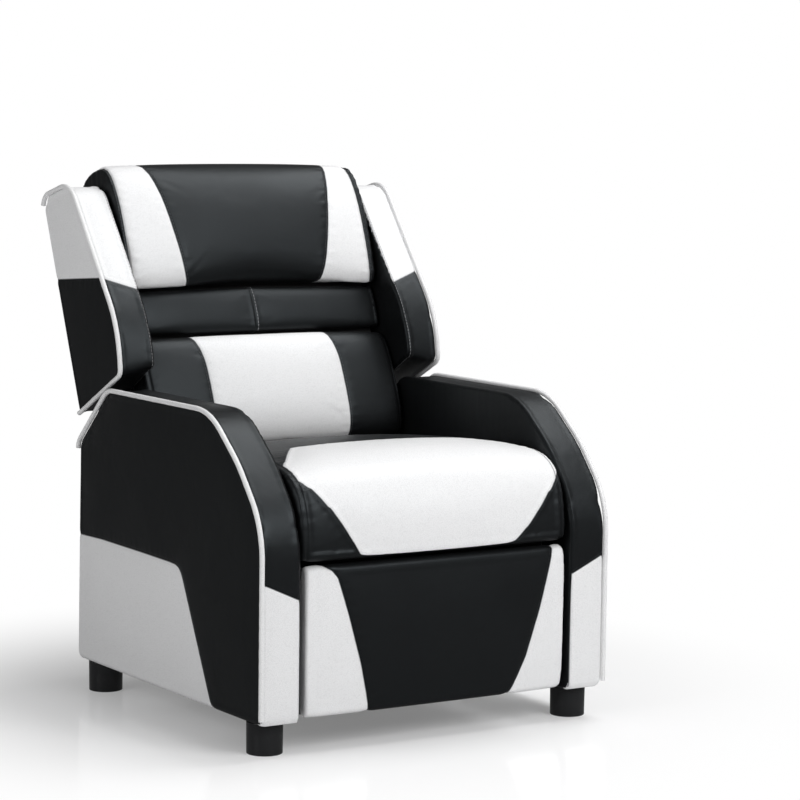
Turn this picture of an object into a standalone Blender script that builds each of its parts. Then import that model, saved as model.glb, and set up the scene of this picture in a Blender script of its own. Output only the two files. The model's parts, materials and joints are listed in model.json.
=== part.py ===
"""Child's push-back recliner, 0.56 m wide: padded arms on a wooden base, a sprung seat,
a winged back that reclines, and a footrest carried by a linkage of crossing steel links.

Metres. +X is right seen from the front, +Y points to the back, +Z up, feet on Z = 0.
Lengths along Y are measured from the front edge of the arms until the last step, which
moves the whole chair so that the origin lies under the middle of its box.
"""

import math

import bmesh
import bpy
from mathutils import Matrix, Vector

# Gaps: between touching pieces, round a pin, and how far a cutter overruns a wall
FIT_GAP = 0.0003
PIN_GAP = 0.0004
CUT_OVERRUN = 0.004

# Legs
LEG_HEIGHT = 0.0439
LEG_RADIUS = 0.025
LEG_TOE_RADIUS = 0.0225
LEG_TOE_HEIGHT = 0.003
LEG_FLANGE_HEIGHT = 0.004
LEG_WAIST_RADIUS = 0.024
LEG_STUD_RADIUS = 0.004
LEG_STUD_LENGTH = 0.022
LEG_FRONT_INSET = 0.0435
LEG_REAR_INSET = 0.037

# Arms
ARM_INNER_X = 0.2196
ARM_WIDTH = 0.0617
ARM_BOTTOM_Z = LEG_HEIGHT + FIT_GAP
ARM_TOP_Z = 0.4535
ARM_DEPTH = 0.5535
ARM_REAR_LEAN = 0.0065
ARM_SHOULDER_Z = 0.3685
ARM_SHOULDER_RADIUS = 0.022
ARM_REAR_TOP_INSET = 0.1005
ARM_REAR_TOP_RADIUS = 0.030
ARM_FRONT_TOP_Y = 0.1402
ARM_FRONT_TOP_RADIUS = 0.085
ARM_FRONT_LOW_Z = 0.3192
ARM_FRONT_LOW_RADIUS = 0.105
ARM_TOE_RADIUS = 0.006
ARM_EDGE_RADIUS = 0.009
ARM_COVER_WALL = 0.008
ARM_FRAME_RAIL = 0.045
ARM_FRAME_CORNER = 0.012
PIPING_RADIUS = 0.003

# Rails, cleats and dust cover of the base
RAIL_BOTTOM_Z = 0.0465
FRONT_RAIL_Y = 0.050
FRONT_RAIL_THICKNESS = 0.016
FRONT_RAIL_HEIGHT = 0.033
REAR_RAIL_THICKNESS = 0.018
REAR_RAIL_HEIGHT = 0.150
RAIL_EDGE_RADIUS = 0.0015
DUST_COVER_THICKNESS = 0.0015
CLEAT_FRONT_INSET = 0.240
CLEAT_REAR_INSET = 0.1835
CLEAT_WIDTH = 0.028
CLEAT_HEIGHT = 0.026

# Steel: plates, links and their studs
STEEL_THICKNESS = 0.003
STUD_RADIUS = 0.0035
STUD_HEAD_RADIUS = 0.006
LINK_WIDTH = 0.012
LINK_END_RADIUS = 0.008
SLIM_END_RADIUS = 0.0067
PIVOT_RADIUS = 0.005
PIVOT_HEAD_RADIUS = 0.0085
PIVOT_EYE_RADIUS = 0.014

# Pivots, as (distance from the arm fronts, height); those at the rear keep their distance
# from the rear edge of the arms
SEAT_PIVOT_INSET = 0.1255
SEAT_PIVOT_HEIGHT = 0.262
BACK_PIVOT_INSET = 0.0855
BACK_PIVOT_RISE = 0.048
SEAT_PIVOT = (ARM_DEPTH - SEAT_PIVOT_INSET, SEAT_PIVOT_HEIGHT)
BACK_PIVOT = (ARM_DEPTH - BACK_PIVOT_INSET, SEAT_PIVOT_HEIGHT + BACK_PIVOT_RISE)
REAR_LINK_PIVOT = (0.163, 0.212)
IDLER_PIVOT = (0.18515, 0.18808)
KNEE_PIVOT = (0.12134, 0.08096)
BRACKET_PIVOT = (0.062, 0.205)
IDLER_REACH_SHARE = 0.15
CONTROL_REACH_SHARE = 0.15
IDLER_SLOT_CLEARANCE = 0.0024

# Seat
FRAME_SIDE_GAP = 0.0069
SEAT_FRAME_FRONT_Y = 0.058
SEAT_FRAME_REAR_INSET = 0.1505
SEAT_FRAME_REAR_Y = ARM_DEPTH - SEAT_FRAME_REAR_INSET
SEAT_FRAME_RAIL = 0.025
SEAT_FRAME_THICKNESS = 0.0297
SEAT_FRAME_CORNER = 0.004
SEAT_FRAME_TOP_Z = 0.2617
SEAT_PLATE_HEIGHT = 0.026
SEAT_PLATE_FRONT_Y = 0.085
SEAT_SIDE_GAP = 0.0011
SEAT_REAR_INSET = 0.1455
SEAT_DEPTH = ARM_DEPTH - SEAT_REAR_INSET
SEAT_THICKNESS = 0.138
SPRING_COUNT = 3
SPRING_SPACING = 0.105
SPRING_WIRE_RADIUS = 0.0015
SPRING_HALF_WIDTH = 0.016
SPRING_CURLS = 6
SPRING_POINTS_PER_CURL = 8
SPRING_DEPTH = 0.0022
SPRING_LEAD = 0.004
CROSS_TUBE_RADIUS = 0.007
CROSS_TUBE_AT = (0.222, 0.2165)

# Back, in its own leaning axes: y runs to the rear and z up along the back, from its pivot
BACK_LEAN = math.radians(22)
BACK_HALF_WIDTH = ARM_INNER_X - FRAME_SIDE_GAP
BACK_CUSHION_PLANE_Y = -0.022
BACK_BOARD_THICKNESS = 0.0045
BACK_FRAME_DEPTH = 0.047
BACK_FRAME_BOTTOM_Z = 0.012
BACK_FRAME_TOP_Z = 0.420
BACK_FRAME_RAIL = 0.045
BACK_FRAME_EDGE = 0.006
BACK_REAR_PLANE_Y = 0.054
BACK_COVER_EDGE = 0.010
BACK_COVER_CROWN = 0.004
WING_STEP = 0.0033
WING_INNER_X = ARM_INNER_X - WING_STEP
WING_WIDTH = 0.0567
WING_EDGE = 0.009
LUMBAR_BOTTOM_Z = 0.035
LUMBAR_TOP_Z = 0.2110
LUMBAR_PUFF = 0.058
MIDDLE_TOP_Z = 0.2860
MIDDLE_PUFF = 0.033
HEADREST_TOP_Z = 0.4910
HEADREST_PUFF = 0.0605
CUSHION_SEAM_GAP = 0.0008
BACK_BRACKET_LENGTH = 0.190
BACK_BRACKET_WIDTH = 0.030

# Footrest
PAD_SIDE_GAP = 0.0086
PAD_HALF_WIDTH = ARM_INNER_X - PAD_SIDE_GAP
PAD_BOTTOM_Z = 0.0466
PAD_TOP_GAP = 0.0083
PAD_HEIGHT = SEAT_FRAME_TOP_Z + FIT_GAP - PAD_TOP_GAP - PAD_BOTTOM_Z
PAD_THICKNESS = 0.030
BOARD_THICKNESS = 0.015
BOARD_INSET = 0.006
BOARD_EDGE = 0.002
BRACKET_FOOT_HEIGHT = 0.085
BRACKET_FOOT_WIDTH = 0.013

# Vinyl and cloth that hang between the moving parts
CLOTH_THICKNESS = 0.0015
FLAP_HALF_WIDTH = 0.186
FLAP_LOOP_RADIUS = 0.0045
FLAP_TOP_GAP = 0.0162
FLAP_TOP_Z = SEAT_FRAME_TOP_Z - FLAP_TOP_GAP
FLAP_DROP = 0.085
CURTAIN_HALF_WIDTH = 0.186
CURTAIN_BEND = 0.012
SKIRT_HALF_WIDTH = 0.200
SKIRT_THICKNESS = 0.002
SKIRT_TOP_Z = 0.085
SKIRT_LOW_Z = 0.088
SKIRT_LOOP = 0.062

# Steps that round an edge, a fillet or a turned piece
ARC_STEPS = 5
ROUND_STEPS = 20
LEG_STEPS = 24

# Side outlines of the soft pieces, as shares of their own depth and height
SEAT_MIDDLE_SHARES = (
    (0.120, 0.00), (0.026, 0.00), (0.000, 0.02), (-0.006, 0.16), (0.008, 0.53), (0.042, 0.74),
    (0.110, 0.91), (0.220, 0.99), (0.370, 1.00), (0.570, 0.96), (0.770, 0.90),
    (0.915, 0.85), (0.985, 0.72), (1.000, 0.50), (0.990, 0.08), (0.955, 0.00), (0.880, 0.00),
)
SEAT_END_SHARES = (
    (0.130, 0.00), (0.036, 0.00), (0.012, 0.02), (0.008, 0.16), (0.026, 0.52), (0.064, 0.71),
    (0.122, 0.84), (0.225, 0.89), (0.370, 0.89), (0.570, 0.86), (0.770, 0.81),
    (0.900, 0.75), (0.960, 0.65), (0.980, 0.47), (0.970, 0.10), (0.930, 0.00), (0.870, 0.00),
)
LUMBAR_MIDDLE_SHARES = (
    (0.00, 1.00), (0.38, 1.00), (0.66, 0.985), (0.86, 0.90), (0.97, 0.66),
    (1.00, 0.38), (0.97, 0.18), (0.80, 0.05), (0.50, 0.00), (0.00, 0.00),
)
LUMBAR_END_SHARES = (
    (0.00, 0.99), (0.32, 0.99), (0.56, 0.965), (0.72, 0.86), (0.79, 0.63),
    (0.81, 0.38), (0.77, 0.19), (0.62, 0.06), (0.38, 0.01), (0.00, 0.01),
)
MIDDLE_MIDDLE_SHARES = (
    (0.00, 1.00), (0.70, 1.00), (0.95, 0.96), (1.03, 0.50), (0.97, 0.04), (0.70, 0.00), (0.00, 0.00),
)
MIDDLE_END_SHARES = (
    (0.00, 0.99), (0.62, 0.99), (0.84, 0.95), (0.90, 0.50), (0.86, 0.05), (0.62, 0.01), (0.00, 0.01),
)
HEADREST_FRONT_SHARES = (
    (0.00, 0.00), (0.32, 0.00), (0.62, 0.03), (0.86, 0.12), (0.98, 0.30),
    (1.00, 0.48), (0.95, 0.68), (0.78, 0.86), (0.45, 0.97),
)
HEADREST_END_SHARES = (
    (0.00, 0.01), (0.30, 0.01), (0.56, 0.03), (0.76, 0.12), (0.86, 0.30),
    (0.88, 0.48), (0.84, 0.67), (0.69, 0.85), (0.40, 0.955),
)
HEADREST_REAR_SHARES = (
    (0.30, 1.00), (0.68, 0.975), (0.90, 0.91), (0.99, 0.79), (0.94, 0.682),
    (0.30, 0.676), (0.05, 0.676), (0.00, 0.676), (0.00, 0.63),
)
HEADREST_REAR_END_SHARES = (
    (0.28, 0.985), (0.64, 0.96), (0.85, 0.895), (0.94, 0.79), (0.90, 0.690),
    (0.30, 0.686), (0.05, 0.686), (0.00, 0.686), (0.00, 0.64),
)
PAD_MIDDLE_SHARES = (
    (1.00, 0.00), (0.58, 0.00), (0.20, 0.008), (0.03, 0.045), (0.00, 0.20), (0.00, 0.50),
    (0.00, 0.80), (0.03, 0.955), (0.20, 0.992), (0.58, 1.00), (1.00, 1.00),
)
PAD_END_SHARES = (
    (1.00, 0.00), (0.62, 0.00), (0.28, 0.012), (0.12, 0.05), (0.09, 0.20), (0.09, 0.50),
    (0.09, 0.80), (0.12, 0.95), (0.28, 0.988), (0.62, 1.00), (1.00, 1.00),
)
# Where the sections of a cushion lie between its middle and its end, and how much of the
# end's outline each has
SECTION_PLACE_SHARES = (0.0, 0.42, 0.74, 0.93, 0.985, 1.0)
SECTION_BLEND_SHARES = (0.0, 0.12, 0.40, 0.80, 1.0, 1.0)
SECTION_SHRINK_SHARES = (0.0, 0.0, 0.0, 0.06, 0.45, 1.0)
CUSHION_EDGE = 0.005

# The wing's outline in the back's axes: y, z and the corner's radius
WING_OUTLINE = (
    ("rear_low", 0.0540, 0.1250, 0.006),
    ("rear_top", 0.0540, 0.4670, 0.014),
    ("front_top", -0.0470, 0.4530, 0.020),
    ("front_tip", -0.1190, 0.1960, 0.022),
    ("low_front", -0.0820, 0.1450, 0.020),
)

BLACK = (0.018, 0.020, 0.023)
WHITE = (0.80, 0.80, 0.80)
WOOD = (0.55, 0.40, 0.24)
STEEL = (0.22, 0.22, 0.23)
CLOTH = (0.012, 0.012, 0.013)


def clear_scene():
    """Remove every object of the open file."""
    for thing in list(bpy.data.objects):
        bpy.data.objects.remove(thing, do_unlink=True)


def material(name, colour, roughness, metallic=0.0):
    """A Principled material."""
    made = bpy.data.materials.new(name)
    made.use_nodes = True
    shader = made.node_tree.nodes["Principled BSDF"]
    shader.inputs["Base Color"].default_value = (*colour, 1.0)
    shader.inputs["Roughness"].default_value = roughness
    shader.inputs["Metallic"].default_value = metallic
    return made


class Chair:
    """The collections, the empties that carry the moving bodies, and how pieces are hung on them."""

    def __init__(self):
        self.parts = bpy.data.collections.new("kids_recliner")
        self.cutters = bpy.data.collections.new("cutters")
        bpy.context.scene.collection.children.link(self.parts)
        bpy.context.scene.collection.children.link(self.cutters)
        self.root = self.empty("recliner_origin", Vector(), None)

    def empty(self, name, place, parent, lean=0.0):
        """An empty at a place given in the parent's axes."""
        made = bpy.data.objects.new(name, None)
        made.location = place
        made.rotation_euler.x = lean
        made.parent = parent
        self.parts.objects.link(made)
        return made

    def pivot(self, name, at, carrier=None):
        """An empty on a hinge's axis, with at given from the arm fronts and the floor."""
        carrier = carrier or self.root
        place = Vector((0, at[0], at[1])) - self.offset(carrier)
        return self.empty(name, place, carrier)

    def offset(self, carrier):
        """Where a carrier stands, measured from the arm fronts and the floor."""
        total = Vector()
        while carrier is not None and carrier is not self.root:
            total += carrier.location
            carrier = carrier.parent
        return total

    def add(self, piece, finish, carrier=None, leaning=False):
        """Hang a piece, modelled in the chair's axes (or in the back's), on what carries it."""
        carrier = carrier or self.root
        piece.parent = carrier
        if not leaning:
            piece.location = piece.location - self.offset(carrier)
        piece.data.materials.clear()
        piece.data.materials.append(finish)
        if piece.name not in self.parts.objects:
            self.parts.objects.link(piece)
        return piece


def filleted(corners, steps=ARC_STEPS):
    """A closed outline whose corners, (a, b, radius), are rounded by arcs."""
    points = []
    count = len(corners)
    for i, (a, b, radius) in enumerate(corners):
        here = Vector((a, b))
        before = (Vector(corners[i - 1][:2]) - here).normalized()
        after = (Vector(corners[(i + 1) % count][:2]) - here).normalized()
        if radius <= 0:
            points.append(here)
            continue
        half = before.angle(after) / 2
        tangent = radius / math.tan(half)
        centre = here + (before + after).normalized() * radius / math.sin(half)
        start = here + before * tangent - centre
        end = here + after * tangent - centre
        turn = start.angle_signed(end)
        for k in range(steps + 1):
            points.append(centre + Matrix.Rotation(-turn * k / steps, 2) @ start)
    return points


def inset(points, distance):
    """A closed outline moved inwards by a distance, whichever way round it runs."""
    area = sum(a.x * b.y - b.x * a.y for a, b in zip(points, points[1:] + points[:1]))
    side = 1 if area > 0 else -1
    moved = []
    for i, here in enumerate(points):
        first = (here - points[i - 1]).normalized()
        second = (points[(i + 1) % len(points)] - here).normalized()
        normal_a = Vector((-first.y, first.x)) * side
        normal_b = Vector((-second.y, second.x)) * side
        middle = (normal_a + normal_b).normalized()
        moved.append(here + middle * distance / max(middle.dot(normal_a), 0.3))
    return moved


def shrunk(corners, distance):
    """The corners of an outline moved inwards by a distance, with radii that follow."""
    places = inset([Vector(corner[:2]) for corner in corners], distance)
    return [
        (place.x, place.y, max(corner[2] - distance, ARM_FRAME_CORNER if distance > corner[2] else 0))
        for place, corner in zip(places, corners)
    ]


def footed(corners, level):
    """The same corners with the first and the last, which stand at the bottom, square at a level."""
    return [(corners[0][0], level, 0), *corners[1:-1], (corners[-1][0], level, 0)]


def circle(centre, radius, steps=ROUND_STEPS):
    """Points round a circle."""
    return [
        Vector((centre[0] + radius * math.cos(math.tau * k / steps), centre[1] + radius * math.sin(math.tau * k / steps)))
        for k in range(steps)
    ]


def flat_piece(name, loops, thickness, edge=0.0, edge_steps=2):
    """A flat curve with holes, thickened evenly to both sides, with rounded edges if asked."""
    curve = bpy.data.curves.new(name, "CURVE")
    curve.dimensions = "2D"
    curve.fill_mode = "BOTH"
    curve.extrude = thickness / 2 - edge
    if edge > 0:
        curve.bevel_depth = edge
        curve.offset = -edge
        curve.bevel_resolution = edge_steps
    for loop in loops:
        spline = curve.splines.new("POLY")
        spline.points.add(len(loop) - 1)
        spline.use_cyclic_u = True
        for point, (a, b) in zip(spline.points, loop):
            point.co = (a, b, 0, 1)
    return bpy.data.objects.new(name, curve)


def stand_in_side_plane(piece, x):
    """Turn a flat piece so that its outline lies in the side view, at x."""
    piece.rotation_euler = (math.pi / 2, 0, math.pi / 2)
    piece.location = (x, 0, 0)
    return piece


def stand_in_front_plane(piece, y):
    """Turn a flat piece so that its outline lies in the front view, at y."""
    piece.rotation_euler = (math.pi / 2, 0, 0)
    piece.location = (0, y, 0)
    return piece


def as_mesh(piece):
    """The piece as an object with a closed mesh, its turn and place put into the mesh."""
    bpy.context.scene.collection.objects.link(piece)
    bpy.context.view_layer.update()
    seen = piece.evaluated_get(bpy.context.evaluated_depsgraph_get())
    mesh = bpy.data.meshes.new_from_object(seen)
    mesh.transform(piece.matrix_world)
    name = piece.name
    bpy.data.objects.remove(piece, do_unlink=True)
    shape = bmesh.new()
    shape.from_mesh(mesh)
    bmesh.ops.remove_doubles(shape, verts=shape.verts, dist=FIT_GAP / 30)
    bmesh.ops.recalc_face_normals(shape, faces=shape.faces)
    shape.to_mesh(mesh)
    shape.free()
    made = bpy.data.objects.new(name, mesh)
    made.name = name
    return made


def mesh_object(name, shape, smooth_angle=None):
    """An object from a bmesh, which is freed."""
    mesh = bpy.data.meshes.new(name)
    shape.to_mesh(mesh)
    shape.free()
    if smooth_angle is not None:
        mesh.shade_smooth()
        mesh.set_sharp_from_angle(angle=smooth_angle)
    return bpy.data.objects.new(name, mesh)


def box(name, low, high, edge=0.0):
    """A box between two corners, its edges rounded by a Bevel modifier."""
    shape = bmesh.new()
    bmesh.ops.create_cube(shape, size=1)
    low, high = Vector(low), Vector(high)
    for vert in shape.verts:
        vert.co = [(high[i] - low[i]) * vert.co[i] for i in range(3)]
    made = mesh_object(name, shape)
    made.location = (low + high) / 2
    if edge > 0:
        rounding = made.modifiers.new("edge", "BEVEL")
        rounding.width = edge
        rounding.segments = 2
        rounding.limit_method = "ANGLE"
    return made


def rod(x_from, x_to, at, radius, steps=ROUND_STEPS):
    """A closed cylinder along X, as a bmesh."""
    shape = bmesh.new()
    turn = Matrix.Translation(((x_from + x_to) / 2, at[0], at[1])) @ Matrix.Rotation(math.pi / 2, 4, "Y")
    bmesh.ops.create_cone(
        shape, cap_ends=True, segments=steps, radius1=radius, radius2=radius,
        depth=abs(x_to - x_from), matrix=turn,
    )
    return shape


def turned(name, profile, steps):
    """A profile of (radius, height), from the top down, turned about Z by a Screw modifier."""
    shape = bmesh.new()
    verts = [shape.verts.new((radius, 0, height)) for radius, height in profile]
    for a, b in zip(verts, verts[1:]):
        shape.edges.new((a, b))
    made = mesh_object(name, shape)
    turn = made.modifiers.new("turn", "SCREW")
    turn.steps = steps
    turn.render_steps = steps
    turn.use_merge_vertices = True
    turn.merge_threshold = FIT_GAP / 10
    turn.use_smooth_shade = True
    return made


def tube(name, points, radius, closed=False, sides=2):
    """A round wire along points, with filled caps."""
    curve = bpy.data.curves.new(name, "CURVE")
    curve.dimensions = "3D"
    curve.bevel_depth = radius
    curve.bevel_resolution = sides
    curve.use_fill_caps = not closed
    spline = curve.splines.new("POLY")
    spline.points.add(len(points) - 1)
    spline.use_cyclic_u = closed
    for point, place in zip(spline.points, points):
        point.co = (*place, 1)
    return bpy.data.objects.new(name, curve)


class Workshop:
    """Boolean cuts and joins between meshes, with the tools kept in the cutters' collection."""

    def __init__(self, chair):
        self.chair = chair

    def combine(self, piece, tool, name, operation):
        """Hang the tool beside the piece and add the Boolean modifier that uses it."""
        tool.name = name
        tool.parent = piece.parent
        tool.location = tool.location + piece.location
        tool.hide_render = True
        tool.display_type = "WIRE"
        self.chair.cutters.objects.link(tool)
        change = piece.modifiers.new(name, "BOOLEAN")
        change.operation = operation
        change.solver = "EXACT"
        change.object = tool

    def cut(self, piece, tool, name):
        """Cut a tool's shape out of a piece that is already hung in the chair."""
        self.combine(piece, tool, name, "DIFFERENCE")

    def join(self, piece, tool, name):
        """Join a tool's shape to a piece that is already hung in the chair."""
        self.combine(piece, tool, name, "UNION")


def side_sign(side):
    """-1 for left and +1 for right, seen from the front."""
    return -1 if side == "left" else 1


SIDES = ("left", "right")


class Stack:
    """The layers between an arm and the middle, outside in, as distances from the middle."""

    base_plate = ARM_INNER_X - FIT_GAP - STEEL_THICKNESS / 2
    seat_plate = base_plate - STEEL_THICKNESS - FIT_GAP
    swing_links = seat_plate - STEEL_THICKNESS - FIT_GAP
    front_links = swing_links - STEEL_THICKNESS - FIT_GAP
    brackets = front_links - STEEL_THICKNESS - FIT_GAP
    control_links = brackets - STEEL_THICKNESS - FIT_GAP

    @staticmethod
    def outer(layer):
        """A layer's face towards the arm."""
        return layer + STEEL_THICKNESS / 2

    @staticmethod
    def inner(layer):
        """A layer's face towards the middle."""
        return layer - STEEL_THICKNESS / 2


def arm_corners():
    """The corners of an arm's side outline, from its rear lower corner up and round to the front."""
    return (
        (ARM_DEPTH, ARM_BOTTOM_Z, ARM_TOE_RADIUS),
        (ARM_DEPTH - ARM_REAR_LEAN, ARM_SHOULDER_Z, ARM_SHOULDER_RADIUS),
        (ARM_DEPTH - ARM_REAR_TOP_INSET, ARM_TOP_Z, ARM_REAR_TOP_RADIUS),
        (ARM_FRONT_TOP_Y, ARM_TOP_Z, ARM_FRONT_TOP_RADIUS),
        (0, ARM_FRONT_LOW_Z, ARM_FRONT_LOW_RADIUS),
        (0, ARM_BOTTOM_Z, ARM_TOE_RADIUS),
    )


def arm_x(side):
    """The middle of an arm's width."""
    return side_sign(side) * (ARM_INNER_X + ARM_WIDTH / 2)


def leg_profile():
    """A leg from its stud down to its toe."""
    top = LEG_HEIGHT
    return (
        (0, top + LEG_STUD_LENGTH),
        (LEG_STUD_RADIUS, top + LEG_STUD_LENGTH),
        (LEG_STUD_RADIUS, top),
        (LEG_RADIUS, top),
        (LEG_RADIUS, top - LEG_FLANGE_HEIGHT),
        (LEG_WAIST_RADIUS, top - LEG_FLANGE_HEIGHT - LEG_TOE_HEIGHT),
        (LEG_WAIST_RADIUS, LEG_TOE_HEIGHT),
        (LEG_TOE_RADIUS, 0),
        (0, 0),
    )


def build_arms(chair, shop, leather, timber, welt):
    """Padded covers over wooden frames, with the welt round the outer edge."""
    corners = arm_corners()
    outline = filleted(corners)
    cavity = filleted(footed(shrunk(corners, ARM_COVER_WALL), ARM_BOTTOM_Z - CUT_OVERRUN))
    core = filleted(footed(shrunk(corners, ARM_COVER_WALL + FIT_GAP), ARM_BOTTOM_Z + FIT_GAP))
    window = filleted(shrunk(corners, ARM_COVER_WALL + ARM_FRAME_RAIL))
    for side in SIDES:
        x = arm_x(side)
        cover = as_mesh(stand_in_side_plane(
            flat_piece(f"{side}_arm_cover", [outline], ARM_WIDTH, ARM_EDGE_RADIUS), x))
        hollow = as_mesh(stand_in_side_plane(
            flat_piece(f"{side}_arm_hollow", [cavity], ARM_WIDTH - 2 * ARM_COVER_WALL), x))
        chair.add(cover, leather)
        shop.cut(cover, hollow, f"{side}_arm_hollow")

        frame_width = ARM_WIDTH - 2 * ARM_COVER_WALL - 2 * FIT_GAP
        frame = as_mesh(stand_in_side_plane(flat_piece(f"{side}_arm_frame", [core, window], frame_width), x))
        chair.add(frame, timber)
        for place, y in (("front", LEG_FRONT_INSET), ("rear", ARM_DEPTH - LEG_REAR_INSET)):
            bore = bmesh.new()
            depth = LEG_STUD_LENGTH + CUT_OVERRUN
            bmesh.ops.create_cone(
                bore, cap_ends=True, segments=LEG_STEPS,
                radius1=LEG_STUD_RADIUS + PIN_GAP, radius2=LEG_STUD_RADIUS + PIN_GAP, depth=2 * depth,
                matrix=Matrix.Translation((x, y, ARM_BOTTOM_Z)),
            )
            shop.cut(frame, mesh_object("bore", bore), f"{place}_{side}_leg_bore")
            leg = turned(f"{place}_{side}_leg", leg_profile(), LEG_STEPS)
            leg.location = (x, y, 0)
            chair.add(leg, welt["plastic"])

        edge = ARM_EDGE_RADIUS - (ARM_EDGE_RADIUS + PIPING_RADIUS + FIT_GAP) / math.sqrt(2)
        run = filleted(footed(shrunk(corners, edge), ARM_BOTTOM_Z + ARM_EDGE_RADIUS))[1:]
        outer = side_sign(side) * (ARM_INNER_X + ARM_WIDTH - edge)
        piping = tube(f"{side}_arm_piping", [(outer, point.x, point.y) for point in run], PIPING_RADIUS)
        chair.add(piping, welt["white"])


def build_base(chair, shop, leather, timber, cloth, steel):
    """Rails and dust cover between the arms, the cleats, and the plates with the main pins."""
    half = ARM_INNER_X - FIT_GAP
    rear_y = ARM_DEPTH - REAR_RAIL_THICKNESS
    chair.add(box(
        "front_rail",
        (-half, FRONT_RAIL_Y, RAIL_BOTTOM_Z),
        (half, FRONT_RAIL_Y + FRONT_RAIL_THICKNESS, RAIL_BOTTOM_Z + FRONT_RAIL_HEIGHT),
        RAIL_EDGE_RADIUS,
    ), timber)
    chair.add(box(
        "rear_rail",
        (-half, rear_y, RAIL_BOTTOM_Z),
        (half, ARM_DEPTH, RAIL_BOTTOM_Z + REAR_RAIL_HEIGHT),
        RAIL_EDGE_RADIUS,
    ), leather)
    chair.add(box(
        "dust_cover",
        (-half, FRONT_RAIL_Y, RAIL_BOTTOM_Z - FIT_GAP - DUST_COVER_THICKNESS),
        (half, ARM_DEPTH, RAIL_BOTTOM_Z - FIT_GAP),
    ), cloth)
    cleat_top = SEAT_FRAME_TOP_Z - SEAT_FRAME_THICKNESS - FIT_GAP
    for side in SIDES:
        sign = side_sign(side)
        low_x, high_x = sorted((sign * half, sign * (half - CLEAT_WIDTH)))
        chair.add(box(
            f"{side}_seat_cleat",
            (low_x, CLEAT_FRONT_INSET, cleat_top - CLEAT_HEIGHT),
            (high_x, ARM_DEPTH - CLEAT_REAR_INSET, cleat_top),
            RAIL_EDGE_RADIUS,
        ), timber)
        build_base_plate(chair, shop, side, steel)


def build_base_plate(chair, shop, side, steel):
    """The steel plate on the arm's inner side that carries the seat's and the back's pins."""
    sign = side_sign(side)
    foot_z = SEAT_PIVOT[1] - 4 * PIVOT_EYE_RADIUS
    outline = filleted((
        (SEAT_PIVOT[0] - PIVOT_EYE_RADIUS, foot_z, PIVOT_RADIUS),
        (BACK_PIVOT[0] + 3 * PIVOT_EYE_RADIUS, foot_z, PIVOT_RADIUS),
        (BACK_PIVOT[0] + PIVOT_EYE_RADIUS + PIVOT_RADIUS, BACK_PIVOT[1] + PIVOT_EYE_RADIUS, PIVOT_EYE_RADIUS),
        (BACK_PIVOT[0] - PIVOT_EYE_RADIUS, BACK_PIVOT[1] + PIVOT_EYE_RADIUS, PIVOT_EYE_RADIUS / 2),
        (SEAT_PIVOT[0] - PIVOT_EYE_RADIUS, SEAT_PIVOT[1] + PIVOT_EYE_RADIUS, PIVOT_EYE_RADIUS / 2),
    ))
    plate = as_mesh(stand_in_side_plane(
        flat_piece(f"{side}_base_plate", [outline], STEEL_THICKNESS), sign * Stack.base_plate))
    chair.add(plate, steel)
    for name, at in (("seat", SEAT_PIVOT), ("back", BACK_PIVOT)):
        add_stud(
            shop, plate, f"{side}_{name}_pin", sign, at,
            Stack.base_plate, Stack.inner(Stack.seat_plate), PIVOT_RADIUS, PIVOT_HEAD_RADIUS,
        )


def add_stud(shop, plate, name, sign, at, root_x, end_x, radius, head_radius):
    """A stud from inside its plate, through the links as far as end_x, and a head past it."""
    head_from = end_x - FIT_GAP
    head_to = head_from - STEEL_THICKNESS * 2 / 3
    pin = rod(sign * root_x, sign * (head_to + FIT_GAP), at, radius)
    shop.join(plate, mesh_object(name, pin), name)
    head = rod(sign * head_from, sign * head_to, at, head_radius)
    shop.join(plate, mesh_object(name, head), f"{name}_head")


def link_outline(points, width, end_radius):
    """A bar along two or more pivots, with round ends."""
    first, last = Vector(points[0]), Vector(points[-1])
    along = (last - first).normalized()
    reach = math.sqrt(end_radius ** 2 - (width / 2) ** 2)
    open_angle = math.atan2(width / 2, reach)
    outline = []
    for centre, direction in ((last, along), (first, -along)):
        base = math.atan2(direction.y, direction.x)
        spread = math.pi - open_angle
        for k in range(2 * ARC_STEPS + 1):
            angle = base - spread + 2 * spread * k / (2 * ARC_STEPS)
            outline.append(centre + Vector((math.cos(angle), math.sin(angle))) * end_radius)
    return outline


def link(chair, name, sign, layer, pivots, holes, steel, carrier, end_radius=LINK_END_RADIUS):
    """A flat steel link in its layer, with round holes (place, radius)."""
    loops = [link_outline(pivots, LINK_WIDTH, end_radius)]
    loops += [circle(place, radius) for place, radius in holes]
    piece = as_mesh(stand_in_side_plane(flat_piece(name, loops, STEEL_THICKNESS), sign * layer))
    return chair.add(piece, steel, carrier)


def beyond(start, end, share):
    """The point past end on the line from start, by a share of its length."""
    return (end[0] + (end[0] - start[0]) * share, end[1] + (end[1] - start[1]) * share)


def control_bracket_pivot():
    """Where the control link meets the bracket: the fourth corner of its parallelogram."""
    tip = beyond(REAR_LINK_PIVOT, KNEE_PIVOT, CONTROL_REACH_SHARE)
    return (
        BRACKET_PIVOT[0] + tip[0] - KNEE_PIVOT[0],
        BRACKET_PIVOT[1] + tip[1] - KNEE_PIVOT[1],
    )


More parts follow.
